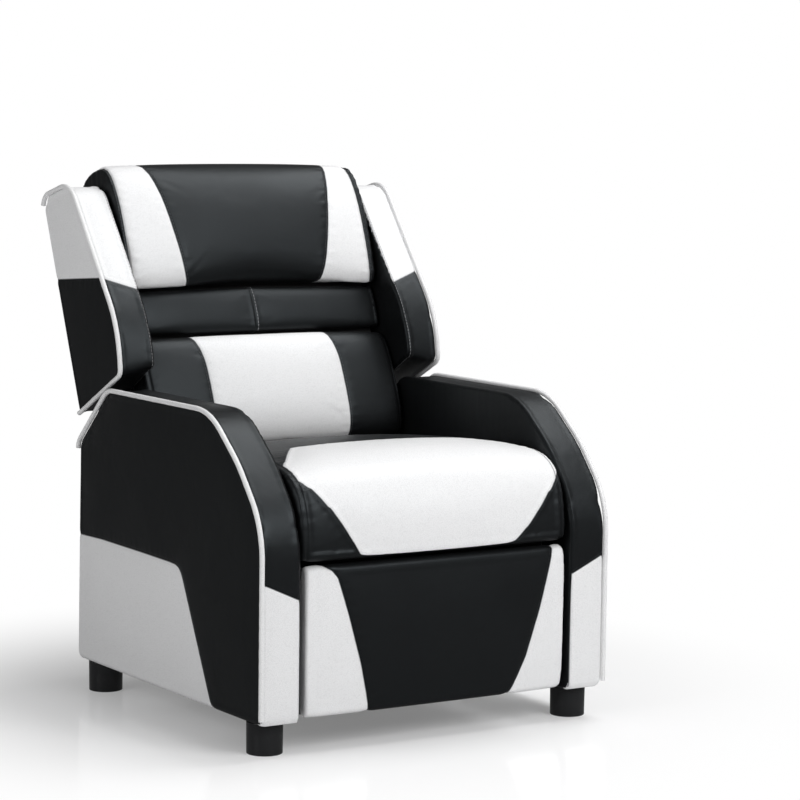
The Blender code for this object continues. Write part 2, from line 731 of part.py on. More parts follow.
def build_linkage(chair, shop, axes, steel):
    """Four links a side: two swing from the seat plate, two fold from those to the footrest."""
    hole = STUD_RADIUS + PIN_GAP
    tip = beyond(REAR_LINK_PIVOT, KNEE_PIVOT, CONTROL_REACH_SHARE)
    tail = beyond(BRACKET_PIVOT, KNEE_PIVOT, IDLER_REACH_SHARE)
    low_bracket = control_bracket_pivot()
    for side in SIDES:
        sign = side_sign(side)
        rear = link(
            chair, f"{side}_rear_link", sign, Stack.swing_links, (REAR_LINK_PIVOT, tip),
            [(REAR_LINK_PIVOT, hole)], steel, axes["rear_links"])
        add_stud(
            shop, rear, f"{side}_knee_stud", sign, KNEE_PIVOT,
            Stack.swing_links, Stack.inner(Stack.front_links), STUD_RADIUS, STUD_HEAD_RADIUS)
        add_stud(
            shop, rear, f"{side}_tip_stud", sign, tip,
            Stack.swing_links, Stack.inner(Stack.control_links), STUD_RADIUS, STUD_HEAD_RADIUS)
        idler = link(
            chair, f"{side}_idler_link", sign, Stack.swing_links, (IDLER_PIVOT, tail),
            [(IDLER_PIVOT, hole)], steel, axes["idler_links"], SLIM_END_RADIUS)
        add_stud(
            shop, idler, f"{side}_tail_stud", sign, tail,
            Stack.swing_links, Stack.inner(Stack.front_links), STUD_RADIUS - PIN_GAP,
            STUD_HEAD_RADIUS + IDLER_SLOT_CLEARANCE)
        link(
            chair, f"{side}_front_link", sign, Stack.front_links, (tail, BRACKET_PIVOT),
            [(KNEE_PIVOT, hole), (BRACKET_PIVOT, hole), (tail, STUD_RADIUS + IDLER_SLOT_CLEARANCE)],
            steel, axes["front_links"])
        link(
            chair, f"{side}_control_link", sign, Stack.control_links, (tip, low_bracket),
            [(tip, hole), (low_bracket, hole + PIN_GAP)], steel, axes["control_links"],
            SLIM_END_RADIUS)
    half = Stack.inner(Stack.swing_links) + STEEL_THICKNESS / 2
    middle = (
        (REAR_LINK_PIVOT[0] + KNEE_PIVOT[0]) / 2,
        (REAR_LINK_PIVOT[1] + KNEE_PIVOT[1]) / 2,
    )
    bar = rod(-half + STEEL_THICKNESS / 2 + FIT_GAP, half - STEEL_THICKNESS / 2 - FIT_GAP, middle, LINK_WIDTH / 2)
    chair.add(mesh_object("link_tie_bar", bar, math.radians(40)), steel, axes["rear_links"])


def build_seat(chair, shop, axes, leather, timber, steel):
    """Frame with side plates, sinuous springs, cross tube and the crowned cushion."""
    half = BACK_HALF_WIDTH
    z = SEAT_FRAME_TOP_Z - SEAT_FRAME_THICKNESS / 2
    corner = SEAT_FRAME_CORNER
    corners = (
        (-half, SEAT_FRAME_FRONT_Y, corner), (half, SEAT_FRAME_FRONT_Y, corner),
        (half, SEAT_FRAME_REAR_Y, corner), (-half, SEAT_FRAME_REAR_Y, corner),
    )
    window = [Vector(corner[:2]) for corner in shrunk(corners, SEAT_FRAME_RAIL)]
    loops = [filleted(corners, 3), window]
    frame = as_mesh(flat_piece("seat_frame", loops, SEAT_FRAME_THICKNESS))
    frame.data.transform(Matrix.Translation((0, 0, z)))
    chair.add(frame, timber, axes["seat"])

    build_seat_plates(chair, shop, axes, steel)
    half_tube = Stack.inner(Stack.seat_plate) - FIT_GAP
    tube_bar = rod(-half_tube, half_tube, CROSS_TUBE_AT, CROSS_TUBE_RADIUS)
    chair.add(mesh_object("cross_tube", tube_bar, math.radians(40)), steel, axes["seat"])

    front = SEAT_FRAME_FRONT_Y + SEAT_FRAME_RAIL + FIT_GAP
    rear = SEAT_FRAME_REAR_Y - SEAT_FRAME_RAIL - FIT_GAP
    height = SEAT_FRAME_TOP_Z - SPRING_DEPTH
    wave = rear - front - 2 * SPRING_LEAD
    count = SPRING_CURLS * SPRING_POINTS_PER_CURL
    print("seat spring: least gap between curls",
          round(wave / SPRING_CURLS / 2 - 2 * SPRING_WIRE_RADIUS, 4), "m")
    for number in range(SPRING_COUNT):
        x = (number - (SPRING_COUNT - 1) / 2) * SPRING_SPACING
        points = [(x, front, height)]
        for k in range(count + 1):
            swing = SPRING_HALF_WIDTH * math.sin(math.tau * SPRING_CURLS * k / count)
            points.append((x + swing, front + SPRING_LEAD + wave * k / count, height))
        points.append((x, rear, height))
        wire = tube(f"seat_spring_{number + 1}", points, SPRING_WIRE_RADIUS, sides=1)
        chair.add(wire, steel, axes["seat"])

    bottom = SEAT_FRAME_TOP_Z + FIT_GAP
    cushion = cushion_object(
        "seat_cushion",
        [(SEAT_DEPTH * a, bottom + SEAT_THICKNESS * b) for a, b in SEAT_MIDDLE_SHARES],
        [(SEAT_DEPTH * a, bottom + SEAT_THICKNESS * b) for a, b in SEAT_END_SHARES],
        ARM_INNER_X - SEAT_SIDE_GAP,
    )
    chair.add(cushion, leather, axes["seat"])


def build_seat_plates(chair, shop, axes, steel):
    """Steel side plates: a rail along the frame, an eye at the rear and a lobe for the links."""
    hole = PIVOT_RADIUS + PIN_GAP
    top = SEAT_FRAME_TOP_Z
    low = top - SEAT_PLATE_HEIGHT
    eye = PIVOT_EYE_RADIUS
    link_eye = LINK_END_RADIUS
    for side in SIDES:
        sign = side_sign(side)
        outline = filleted((
            (SEAT_PLATE_FRONT_Y, low, link_eye),
            (REAR_LINK_PIVOT[0] - 2 * link_eye, low, link_eye / 2),
            (REAR_LINK_PIVOT[0] - 1.5 * link_eye, REAR_LINK_PIVOT[1] - link_eye, link_eye / 2),
            (IDLER_PIVOT[0] - link_eye, IDLER_PIVOT[1] - 1.4 * link_eye, link_eye / 2),
            (IDLER_PIVOT[0] + 1.5 * link_eye, IDLER_PIVOT[1] - 1.4 * link_eye, link_eye / 2),
            (CROSS_TUBE_AT[0] + CROSS_TUBE_RADIUS, CROSS_TUBE_AT[1] - CROSS_TUBE_RADIUS, link_eye / 2),
            (CROSS_TUBE_AT[0] + CROSS_TUBE_RADIUS + link_eye, low, link_eye / 2),
            (SEAT_PIVOT[0] - 2 * eye, low, link_eye),
            (SEAT_PIVOT[0], SEAT_PIVOT[1] - 1.3 * eye, eye / 2),
            (SEAT_PIVOT[0] + 1.3 * eye, SEAT_PIVOT[1], eye / 2),
            (SEAT_PIVOT[0], SEAT_PIVOT[1] + 1.2 * eye, eye / 2),
            (SEAT_PIVOT[0] - 1.1 * eye, top, eye / 3),
            (SEAT_PLATE_FRONT_Y, top, link_eye / 2),
        ), 3)
        plate = as_mesh(stand_in_side_plane(
            flat_piece(f"{side}_seat_plate", [outline, circle(SEAT_PIVOT, hole)], STEEL_THICKNESS),
            sign * Stack.seat_plate))
        chair.add(plate, steel, axes["seat"])
        for name, at in (("rear_link", REAR_LINK_PIVOT), ("idler", IDLER_PIVOT)):
            add_stud(
                shop, plate, f"{side}_{name}_stud", sign, at,
                Stack.seat_plate, Stack.inner(Stack.swing_links), STUD_RADIUS, STUD_HEAD_RADIUS)


def cushion_object(name, middle, end, half_width, edge=CUSHION_EDGE, levels=1):
    """A cushion lofted from a middle outline to an end outline on both sides, then smoothed."""
    sections = []
    for place, blend, shrink in zip(SECTION_PLACE_SHARES, SECTION_BLEND_SHARES, SECTION_SHRINK_SHARES):
        outline = [Vector(a).lerp(Vector(b), blend) for a, b in zip(middle, end)]
        if shrink:
            outline = inset(outline, edge * shrink)
        sections.append((half_width * place, outline))
    mirrored = [(-x, outline) for x, outline in reversed(sections[1:])]
    return loft(name, mirrored + sections, levels)


def loft(name, sections, levels=0):
    """A closed skin through outlines of equal point count, each at its x."""
    shape = bmesh.new()
    rings = [
        [shape.verts.new((x, point[0], point[1])) for point in outline]
        for x, outline in sections
    ]
    count = len(rings[0])
    for first, second in zip(rings, rings[1:]):
        for i in range(count):
            j = (i + 1) % count
            shape.faces.new((first[i], first[j], second[j], second[i]))
    shape.faces.new(rings[0])
    shape.faces.new(rings[-1][::-1])
    bmesh.ops.recalc_face_normals(shape, faces=shape.faces)
    made = mesh_object(name, shape, math.radians(60))
    if levels:
        made.data.shade_smooth()
        smoothing = made.modifiers.new("smooth", "SUBSURF")
        smoothing.levels = levels
        smoothing.render_levels = levels
    return made


def back_piece(chair, piece, finish, axes):
    """Hang a piece that is modelled in the back's own axes."""
    return chair.add(piece, finish, axes["back"], leaning=True)


def build_back(chair, shop, axes, leather, timber, steel, welt):
    """Frame, boards and cushions, the wings with their welt, and the brackets to the pins."""
    board_y = BACK_CUSHION_PLANE_Y + FIT_GAP
    frame_y = board_y + BACK_BOARD_THICKNESS + FIT_GAP
    half = BACK_HALF_WIDTH
    corners = (
        (-half, BACK_FRAME_BOTTOM_Z, BACK_FRAME_EDGE), (half, BACK_FRAME_BOTTOM_Z, BACK_FRAME_EDGE),
        (half, BACK_FRAME_TOP_Z, BACK_FRAME_EDGE), (-half, BACK_FRAME_TOP_Z, BACK_FRAME_EDGE),
    )
    loops = [filleted(corners, 3), filleted(shrunk(corners, BACK_FRAME_RAIL), 3)]
    frame = as_mesh(stand_in_front_plane(
        flat_piece("back_frame", loops, BACK_FRAME_DEPTH), frame_y + BACK_FRAME_DEPTH / 2))
    back_piece(chair, frame, timber, axes)
    board_outline = filleted((
        (-half, BACK_FRAME_BOTTOM_Z, BACK_FRAME_EDGE), (half, BACK_FRAME_BOTTOM_Z, BACK_FRAME_EDGE),
        (half, BACK_FRAME_TOP_Z - BACK_FRAME_EDGE, BACK_FRAME_EDGE),
        (-half, BACK_FRAME_TOP_Z - BACK_FRAME_EDGE, BACK_FRAME_EDGE),
    ), 3)
    board = as_mesh(stand_in_front_plane(
        flat_piece("back_front_board", [board_outline], BACK_BOARD_THICKNESS),
        board_y + BACK_BOARD_THICKNESS / 2))
    back_piece(chair, board, timber, axes)

    cover_y = frame_y + BACK_FRAME_DEPTH + FIT_GAP
    cover_outline = [
        (cover_y, BACK_FRAME_TOP_Z),
        (BACK_REAR_PLANE_Y - BACK_COVER_EDGE, BACK_FRAME_TOP_Z),
        (BACK_REAR_PLANE_Y, BACK_FRAME_TOP_Z - BACK_COVER_EDGE),
        (BACK_REAR_PLANE_Y + BACK_COVER_CROWN, (BACK_FRAME_TOP_Z + BACK_FRAME_BOTTOM_Z) / 2),
        (BACK_REAR_PLANE_Y, BACK_FRAME_BOTTOM_Z + BACK_COVER_EDGE),
        (BACK_REAR_PLANE_Y - BACK_COVER_EDGE, BACK_FRAME_BOTTOM_Z),
        (cover_y, BACK_FRAME_BOTTOM_Z),
    ]
    cover_end = [(min(a, BACK_REAR_PLANE_Y), b) for a, b in cover_outline]
    cover = cushion_object("back_cover", cover_outline, cover_end, WING_INNER_X - FIT_GAP, BACK_COVER_EDGE / 3)
    back_piece(chair, cover, leather, axes)
    build_back_cushions(chair, leather, axes)
    build_wings(chair, leather, welt, axes)
    for side in SIDES:
        sign = side_sign(side)
        eye = PIVOT_EYE_RADIUS
        width = BACK_BRACKET_WIDTH
        outline = filleted((
            (-width / 2, 0, eye / 2), (0, -1.2 * eye, eye / 2), (width / 2, 0, eye / 2),
            (width / 2, BACK_BRACKET_LENGTH, eye / 2), (-width / 2, BACK_BRACKET_LENGTH, eye / 2),
        ), 4)
        bracket = as_mesh(stand_in_side_plane(
            flat_piece(
                f"{side}_back_bracket", [outline, circle((0, 0), PIVOT_RADIUS + PIN_GAP)], STEEL_THICKNESS),
            sign * Stack.seat_plate))
        back_piece(chair, bracket, steel, axes)


def puffed(shares, front_plane, puff, bottom, top):
    """Shares of a cushion's puff and height as points of the back's axes."""
    return [(front_plane - puff * a, bottom + (top - bottom) * b) for a, b in shares]


def build_back_cushions(chair, leather, axes):
    """Lumbar, middle and headrest cushions between the wings."""
    half = WING_INNER_X - FIT_GAP
    plane = BACK_CUSHION_PLANE_Y
    gap = CUSHION_SEAM_GAP
    lumbar = cushion_object(
        "lumbar_cushion",
        puffed(LUMBAR_MIDDLE_SHARES, plane, LUMBAR_PUFF, LUMBAR_BOTTOM_Z, LUMBAR_TOP_Z),
        puffed(LUMBAR_END_SHARES, plane, LUMBAR_PUFF, LUMBAR_BOTTOM_Z, LUMBAR_TOP_Z),
        half,
    )
    back_piece(chair, lumbar, leather, axes)
    middle = cushion_object(
        "middle_cushion",
        puffed(MIDDLE_MIDDLE_SHARES, plane, MIDDLE_PUFF, LUMBAR_TOP_Z + gap, MIDDLE_TOP_Z),
        puffed(MIDDLE_END_SHARES, plane, MIDDLE_PUFF, LUMBAR_TOP_Z + gap, MIDDLE_TOP_Z),
        half,
    )
    back_piece(chair, middle, leather, axes)
    bottom = MIDDLE_TOP_Z + gap
    rear_depth = BACK_REAR_PLANE_Y - plane
    profiles = []
    for front, rear in (
        (HEADREST_FRONT_SHARES, HEADREST_REAR_SHARES),
        (HEADREST_END_SHARES, HEADREST_REAR_END_SHARES),
    ):
        outline = puffed(front, plane, HEADREST_PUFF, bottom, HEADREST_TOP_Z)
        outline += [(plane + rear_depth * a, bottom + (HEADREST_TOP_Z - bottom) * b) for a, b in rear]
        profiles.append(outline)
    headrest = cushion_object("headrest_cushion", profiles[0], profiles[1], half)
    back_piece(chair, headrest, leather, axes)


def build_wings(chair, leather, welt, axes):
    """Side wings with rounded edges, and the welt round their outer edge."""
    outline = filleted([corner[1:] for corner in WING_OUTLINE])
    steps = ARC_STEPS + 1
    for side in SIDES:
        sign = side_sign(side)
        middle = sign * (WING_INNER_X + WING_WIDTH / 2)
        wing = as_mesh(stand_in_side_plane(
            flat_piece(f"{side}_wing", [outline], WING_WIDTH, WING_EDGE), middle))
        back_piece(chair, wing, leather, axes)
        edge = WING_EDGE - (WING_EDGE + PIPING_RADIUS + FIT_GAP) / math.sqrt(2)
        path = inset(outline, edge)
        run = path[steps:]
        run.append(Vector((path[0].x - 2 * WING_EDGE, path[-1].y + (path[0].y - path[-1].y) * 0.86)))
        outer = sign * (WING_INNER_X + WING_WIDTH - edge)
        piping = tube(f"{side}_wing_piping", [(outer, point.x, point.y) for point in run], PIPING_RADIUS)
        back_piece(chair, piping, welt["white"], axes)


def build_footrest(chair, shop, axes, leather, timber, steel):
    """Board and pad, and the brackets that the links carry."""
    board_y = PAD_THICKNESS + FIT_GAP
    chair.add(box(
        "footrest_board",
        (-PAD_HALF_WIDTH + BOARD_INSET, board_y, PAD_BOTTOM_Z + BOARD_INSET),
        (PAD_HALF_WIDTH - BOARD_INSET, board_y + BOARD_THICKNESS, PAD_BOTTOM_Z + PAD_HEIGHT - BOARD_INSET),
        BOARD_EDGE,
    ), timber, axes["footrest"])
    pad = cushion_object(
        "footrest_pad",
        [(PAD_THICKNESS * a, PAD_BOTTOM_Z + PAD_HEIGHT * b) for a, b in PAD_MIDDLE_SHARES],
        [(PAD_THICKNESS * a, PAD_BOTTOM_Z + PAD_HEIGHT * b) for a, b in PAD_END_SHARES],
        PAD_HALF_WIDTH,
        CUSHION_EDGE / 2,
    )
    chair.add(pad, leather, axes["footrest"])
    back_y = board_y + BOARD_THICKNESS + FIT_GAP
    low = control_bracket_pivot()
    eye = LINK_END_RADIUS
    foot_low = low[1] - BRACKET_FOOT_HEIGHT / 2
    for side in SIDES:
        sign = side_sign(side)
        layer = Stack.brackets
        outline = filleted((
            (back_y, foot_low, eye / 4),
            (back_y + eye, foot_low, eye / 2),
            (low[0] + eye, low[1] - eye, eye / 2),
            (BRACKET_PIVOT[0] + eye, BRACKET_PIVOT[1], eye / 2),
            (BRACKET_PIVOT[0] + eye / 2, BRACKET_PIVOT[1] + eye, eye / 2),
            (back_y, BRACKET_PIVOT[1] + 1.5 * eye, eye / 4),
        ), 3)
        bracket = as_mesh(stand_in_side_plane(
            flat_piece(f"{side}_footrest_bracket", [outline], STEEL_THICKNESS), sign * layer))
        chair.add(bracket, steel, axes["footrest"])
        inner = sign * (Stack.inner(layer) - BRACKET_FOOT_WIDTH)
        outer = sign * layer
        foot = box(
            "foot",
            (min(inner, outer), back_y, foot_low),
            (max(inner, outer), back_y + STEEL_THICKNESS, BRACKET_PIVOT[1] + eye),
        )
        foot.data.transform(Matrix.Translation(foot.location))
        foot.location = (0, 0, 0)
        shop.join(bracket, foot, f"{side}_bracket_foot")
        add_bracket_stud(shop, bracket, f"{side}_bracket_stud", sign, BRACKET_PIVOT, outwards=True)
        add_bracket_stud(shop, bracket, f"{side}_control_stud", sign, low, outwards=False)


def add_bracket_stud(shop, bracket, name, sign, at, outwards):
    """A stud on the footrest bracket, out towards the front link or in towards the control link."""
    layer = Stack.brackets
    if outwards:
        face = Stack.outer(Stack.front_links)
        head_from = face + FIT_GAP
        head_to = head_from + STEEL_THICKNESS * 2 / 3
    else:
        face = Stack.inner(Stack.control_links)
        head_from = face - FIT_GAP
        head_to = head_from - STEEL_THICKNESS * 2 / 3
    end = (head_from + head_to) / 2
    shop.join(bracket, mesh_object(name, rod(sign * layer, sign * end, at, STUD_RADIUS)), name)
    head = rod(sign * head_from, sign * head_to, at, STUD_HEAD_RADIUS)
    shop.join(bracket, mesh_object(name, head), f"{name}_head")


def cloth_sheet(name, path, half_width, thickness):
    """A hanging sheet: a ribbon along a path in the side view, thickened by Solidify."""
    curve = bpy.data.curves.new(name, "CURVE")
    curve.dimensions = "2D"
    curve.fill_mode = "NONE"
    curve.extrude = half_width
    spline = curve.splines.new("POLY")
    spline.points.add(len(path) - 1)
    for point, (a, b) in zip(spline.points, path):
        point.co = (a, b, 0, 1)
    sheet = bpy.data.objects.new(name, curve)
    stand_in_side_plane(sheet, 0)
    thick = sheet.modifiers.new("thickness", "SOLIDIFY")
    thick.thickness = thickness
    thick.offset = 0
    return sheet


def build_cloth(chair, axes, leather, cloth):
    """The flap behind the footrest, the curtain under the links and the rear skirt."""
    board_back = PAD_THICKNESS + FIT_GAP + BOARD_THICKNESS
    front_y = board_back + FIT_GAP + CLOTH_THICKNESS / 2
    rear_y = SEAT_FRAME_FRONT_Y - FIT_GAP - CLOTH_THICKNESS / 2
    low = FLAP_TOP_Z - FLAP_DROP
    flap = filleted((
        (front_y, FLAP_TOP_Z, 0), (front_y, low, FLAP_LOOP_RADIUS),
        (rear_y, low, FLAP_LOOP_RADIUS), (rear_y, FLAP_TOP_Z, 0),
    ))
    chair.add(cloth_sheet("leg_flap", flap, FLAP_HALF_WIDTH, CLOTH_THICKNESS), leather, axes["footrest"])

    rail_top = RAIL_BOTTOM_Z + FRONT_RAIL_HEIGHT + CLOTH_THICKNESS
    rail_back = FRONT_RAIL_Y + FRONT_RAIL_THICKNESS + 2 * CLOTH_THICKNESS
    seat_low = SEAT_FRAME_TOP_Z - SEAT_FRAME_THICKNESS - FIT_GAP
    bend = CURTAIN_BEND
    curtain = filleted((
        (front_y, rail_top + 3 * bend, 0), (front_y, rail_top + bend / 2, bend / 3),
        (rail_back, rail_top, bend / 3), (rail_back, RAIL_BOTTOM_Z + bend, bend / 2),
        (rail_back + 2 * bend, RAIL_BOTTOM_Z + bend, bend / 2),
        (rail_back + bend, seat_low - bend, bend), (rail_back + bend, seat_low, 0),
    ))
    chair.add(
        cloth_sheet("front_curtain", curtain, CURTAIN_HALF_WIDTH, CLOTH_THICKNESS), cloth, axes["footrest"])

    lean = Matrix.Rotation(-BACK_LEAN, 2)
    top = Vector(BACK_PIVOT) + lean @ Vector((BACK_REAR_PLANE_Y + 3 * SKIRT_THICKNESS, SKIRT_TOP_Z))
    under = Vector(BACK_PIVOT) + lean @ Vector((BACK_REAR_PLANE_Y + 3 * SKIRT_THICKNESS, SKIRT_TOP_Z / 2))
    rail_y = ARM_DEPTH + FIT_GAP + SKIRT_THICKNESS / 2
    loop = SKIRT_LOOP
    skirt = filleted((
        (*top, 0), (*under, loop / 4),
        (rail_y + loop, BACK_PIVOT[1] - loop / 2, loop), (rail_y + 1.2 * loop, SKIRT_LOW_Z + loop, loop),
        (rail_y + loop, SKIRT_LOW_Z, loop / 2), (rail_y, SKIRT_LOW_Z, loop / 6),
        (rail_y, SKIRT_LOW_Z + loop / 2, 0),
    ))
    chair.add(cloth_sheet("rear_skirt", skirt, SKIRT_HALF_WIDTH, SKIRT_THICKNESS), cloth)


def centre_on_floor(chair):
    """Move the whole chair so that the origin lies on the floor under the middle of its box."""
    bpy.context.view_layer.update()
    graph = bpy.context.evaluated_depsgraph_get()
    ys = []
    for piece in chair.parts.objects:
        if piece.type == "EMPTY":
            continue
        seen = piece.evaluated_get(graph)
        mesh = seen.to_mesh()
        ys += [(seen.matrix_world @ vert.co).y for vert in mesh.vertices]
        seen.to_mesh_clear()
    chair.root.location.y -= (min(ys) + max(ys)) / 2
    bpy.context.view_layer.update()


def main():
    """Build the recliner piece by piece."""
    clear_scene()
    chair = Chair()
    shop = Workshop(chair)
    leather = material("black_leather", BLACK, 0.42)
    white = material("white_leather", WHITE, 0.45)
    plastic = material("black_plastic", BLACK, 0.25)
    timber = material("plywood", WOOD, 0.70)
    steel = material("coated_steel", STEEL, 0.40, 0.8)
    cloth = material("black_cloth", CLOTH, 0.95)
    welt = {"white": white, "plastic": plastic}

    axes = {"seat": chair.pivot("seat_axis", SEAT_PIVOT)}
    axes["rear_links"] = chair.pivot("rear_links_axis", REAR_LINK_PIVOT, axes["seat"])
    axes["idler_links"] = chair.pivot("idler_links_axis", IDLER_PIVOT, axes["seat"])
    axes["front_links"] = chair.pivot("front_links_axis", KNEE_PIVOT, axes["rear_links"])
    tip = beyond(REAR_LINK_PIVOT, KNEE_PIVOT, CONTROL_REACH_SHARE)
    axes["control_links"] = chair.pivot("control_links_axis", tip, axes["rear_links"])
    axes["footrest"] = chair.pivot("footrest_axis", BRACKET_PIVOT, axes["front_links"])
    axes["back"] = chair.empty(
        "back_axis", Vector((0, BACK_PIVOT[0], BACK_PIVOT[1])), chair.root, -BACK_LEAN)

    build_arms(chair, shop, leather, timber, welt)
    build_base(chair, shop, leather, timber, cloth, steel)
    build_seat(chair, shop, axes, leather, timber, steel)
    build_linkage(chair, shop, axes, steel)
    build_footrest(chair, shop, axes, leather, timber, steel)
    build_back(chair, shop, axes, leather, timber, steel, welt)
    build_cloth(chair, axes, leather, cloth)
    centre_on_floor(chair)


main()
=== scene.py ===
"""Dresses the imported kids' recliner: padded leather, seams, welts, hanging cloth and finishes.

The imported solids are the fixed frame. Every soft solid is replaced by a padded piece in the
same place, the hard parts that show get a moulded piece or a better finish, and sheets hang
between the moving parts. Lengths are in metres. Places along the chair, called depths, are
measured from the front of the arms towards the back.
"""

import json
import logging
import math
from contextlib import contextmanager
from dataclasses import dataclass
from enum import Enum
from typing import ClassVar, Iterator, Sequence

import bpy
import numpy as np
from mathutils import Matrix, Vector
from mathutils.bvhtree import BVHTree


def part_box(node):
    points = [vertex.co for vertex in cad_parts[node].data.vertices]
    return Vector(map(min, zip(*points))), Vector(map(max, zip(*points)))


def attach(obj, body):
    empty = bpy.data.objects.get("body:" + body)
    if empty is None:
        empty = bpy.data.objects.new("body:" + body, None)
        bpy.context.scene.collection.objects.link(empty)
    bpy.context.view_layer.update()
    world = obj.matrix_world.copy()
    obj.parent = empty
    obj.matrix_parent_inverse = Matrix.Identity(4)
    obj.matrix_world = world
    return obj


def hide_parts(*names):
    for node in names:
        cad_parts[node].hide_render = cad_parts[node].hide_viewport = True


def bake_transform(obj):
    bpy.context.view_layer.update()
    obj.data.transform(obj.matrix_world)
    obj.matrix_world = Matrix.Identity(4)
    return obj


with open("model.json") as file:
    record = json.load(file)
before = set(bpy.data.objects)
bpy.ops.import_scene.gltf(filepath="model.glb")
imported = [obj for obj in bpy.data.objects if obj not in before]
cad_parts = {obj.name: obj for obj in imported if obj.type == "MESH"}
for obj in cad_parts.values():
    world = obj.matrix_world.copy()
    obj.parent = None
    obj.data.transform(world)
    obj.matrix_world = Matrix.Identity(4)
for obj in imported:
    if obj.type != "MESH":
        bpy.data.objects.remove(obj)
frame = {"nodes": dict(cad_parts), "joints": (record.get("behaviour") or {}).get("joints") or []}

Colour = tuple[float, float, float]
Corner = tuple[float, float, float]
Line = Sequence[tuple[float, float]]
Material = bpy.types.Material
Piece = bpy.types.Object
Socket = bpy.types.NodeSocket

LOG = logging.getLogger("recliner")
ARM_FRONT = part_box("left_arm_cover")[0].y
BACK_PIVOT = Vector(next(j for j in frame["joints"] if j["name"] == "back_recline")["pos_m"])
BACK_LEAN = math.radians(22)
SIDES = {"left": -1, "right": 1}

# The distances kept for places that belong to no white panel, and for those away from any seam
OFF_PANEL = -0.02
OFF_SEAM = 0.03
# The x of a normal beyond which a face belongs to a slab's flat side, and the z below which it
# belongs to an arm's underside
SIDEWAYS = 0.72
DOWNWARDS = -0.3
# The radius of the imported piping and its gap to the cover, from which the welts' place follows
PIPING_RADIUS = 0.003
PIPING_GAP = 0.0003


class Tone(Enum):
    """Which leather a panel is cut from."""

    DARK = (0.0052, 0.0054, 0.0058)
    PALE = (0.800, 0.800, 0.805)


# Working on meshes


def deselect() -> None:
    """Leave edit mode and deselect everything."""
    if bpy.context.object and bpy.context.object.mode != "OBJECT":
        bpy.ops.object.mode_set(mode="OBJECT")
    bpy.ops.object.select_all(action="DESELECT")


def take(piece: Piece) -> None:
    """Make a piece the only selected and active one."""
    deselect()
    piece.select_set(True)
    bpy.context.view_layer.objects.active = piece


@contextmanager
def editing(select: str | None = "SELECT") -> Iterator[None]:
    """Edit mode for the active piece, with everything or nothing selected, or as it was."""
    bpy.ops.object.mode_set(mode="EDIT")
    if select:
        bpy.ops.mesh.select_all(action=select)
    yield
    bpy.ops.object.mode_set(mode="OBJECT")


def turn_outwards() -> None:
    """Make the normals of everything selected point outwards."""
    bpy.ops.mesh.select_all(action="SELECT")
    bpy.ops.mesh.normals_make_consistent(inside=False)


def modify(piece: Piece, kind: str, **settings: object) -> None:
    """Add a modifier of some kind with its settings and apply it at once."""
    take(piece)
    added = piece.modifiers.new("step", kind)
    for key, value in settings.items():
        setattr(added, key, value)
    bpy.ops.object.modifier_apply(modifier=added.name)


def points_of(piece: Piece) -> np.ndarray:
    """The piece's vertices as an array of points."""
    flat = np.empty(len(piece.data.vertices) * 3)
    piece.data.vertices.foreach_get("co", flat)
    return flat.reshape(-1, 3)


def place_points(piece: Piece, points: np.ndarray) -> None:
    """Move the piece's vertices to new points."""
    piece.data.vertices.foreach_set("co", points.astype(np.float32).ravel())
    piece.data.update()


def normals_of(piece: Piece) -> np.ndarray:
    """The piece's vertex normals as an array."""
    flat = np.empty(len(piece.data.vertices) * 3, np.float32)
    piece.data.vertex_normals.foreach_get("vector", flat)
    return flat.reshape(-1, 3).astype(float)


def store(piece: Piece, name: str, values: np.ndarray) -> None:
    """Keep a number for every vertex in a named attribute, for the finish to read."""
    layer = piece.data.attributes.get(name) or piece.data.attributes.new(name, "FLOAT", "POINT")
    layer.data.foreach_set("value", np.asarray(values, np.float32))


def smooth_all(piece: Piece, angle: float = 60.0) -> None:
    """Shade the piece smooth where its faces meet at less than an angle, in degrees."""
    take(piece)
    bpy.ops.object.shade_smooth_by_angle(angle=math.radians(angle))


def dress(piece: Piece, finish: Material, node: str | None) -> None:
    """Give a piece its finish and hide the solid that it replaces, if any."""
    piece.data.materials.append(finish)
    if node:
        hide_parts(node)


def linked(name: str, data: bpy.types.ID) -> Piece:
    """A new object in the scene with some data."""
    made = bpy.data.objects.new(name, data)
    bpy.context.scene.collection.objects.link(made)
    return made


def primitive(kind: str, name: str, **settings: object) -> Piece:
    """A new object, selected and active, from one of Blender's own mesh shapes."""
    deselect()
    getattr(bpy.ops.mesh, f"primitive_{kind}_add")(**settings)
    made = bpy.context.object
    made.name = name
    return made


def near(distance: np.ndarray, reach: float, full: float = 0.0) -> np.ndarray:
    """1 where a distance is at most full, falling to 0 over the reach beyond it."""
    return np.clip(1.0 - (distance - full) / reach, 0, 1)


def share(amount: np.ndarray, full: float) -> np.ndarray:
    """0 for no amount or less, rising to 1 for the full one or more."""
    return np.clip(amount / full, 0, 1)


def ripple(run: np.ndarray, length: float, shift: float = 0.0) -> np.ndarray:
    """An uneven wave between about -1 and 1, from three sines whose lengths don't divide each other.

    Args:
        run: Distances along the seam.
        length: The main wave's length.
        shift: Moves the pattern along, so that two pieces differ.
    """
    turn = math.tau * (run + shift) / length
    return 0.5 * np.sin(turn) + 0.3 * np.sin(turn * 0.618 + 1.3) + 0.2 * np.sin(turn * 1.732 + 0.4)


def lean(points: np.ndarray) -> np.ndarray:
    """Turn rows of (across the back, up the back) from the back's pivot into (y, z) of the chair."""
    c, s = math.cos(BACK_LEAN), math.sin(BACK_LEAN)
    return np.c_[
        BACK_PIVOT.y + points[:, 0] * c + points[:, 1] * s,
        BACK_PIVOT.z - points[:, 0] * s + points[:, 1] * c,
    ]


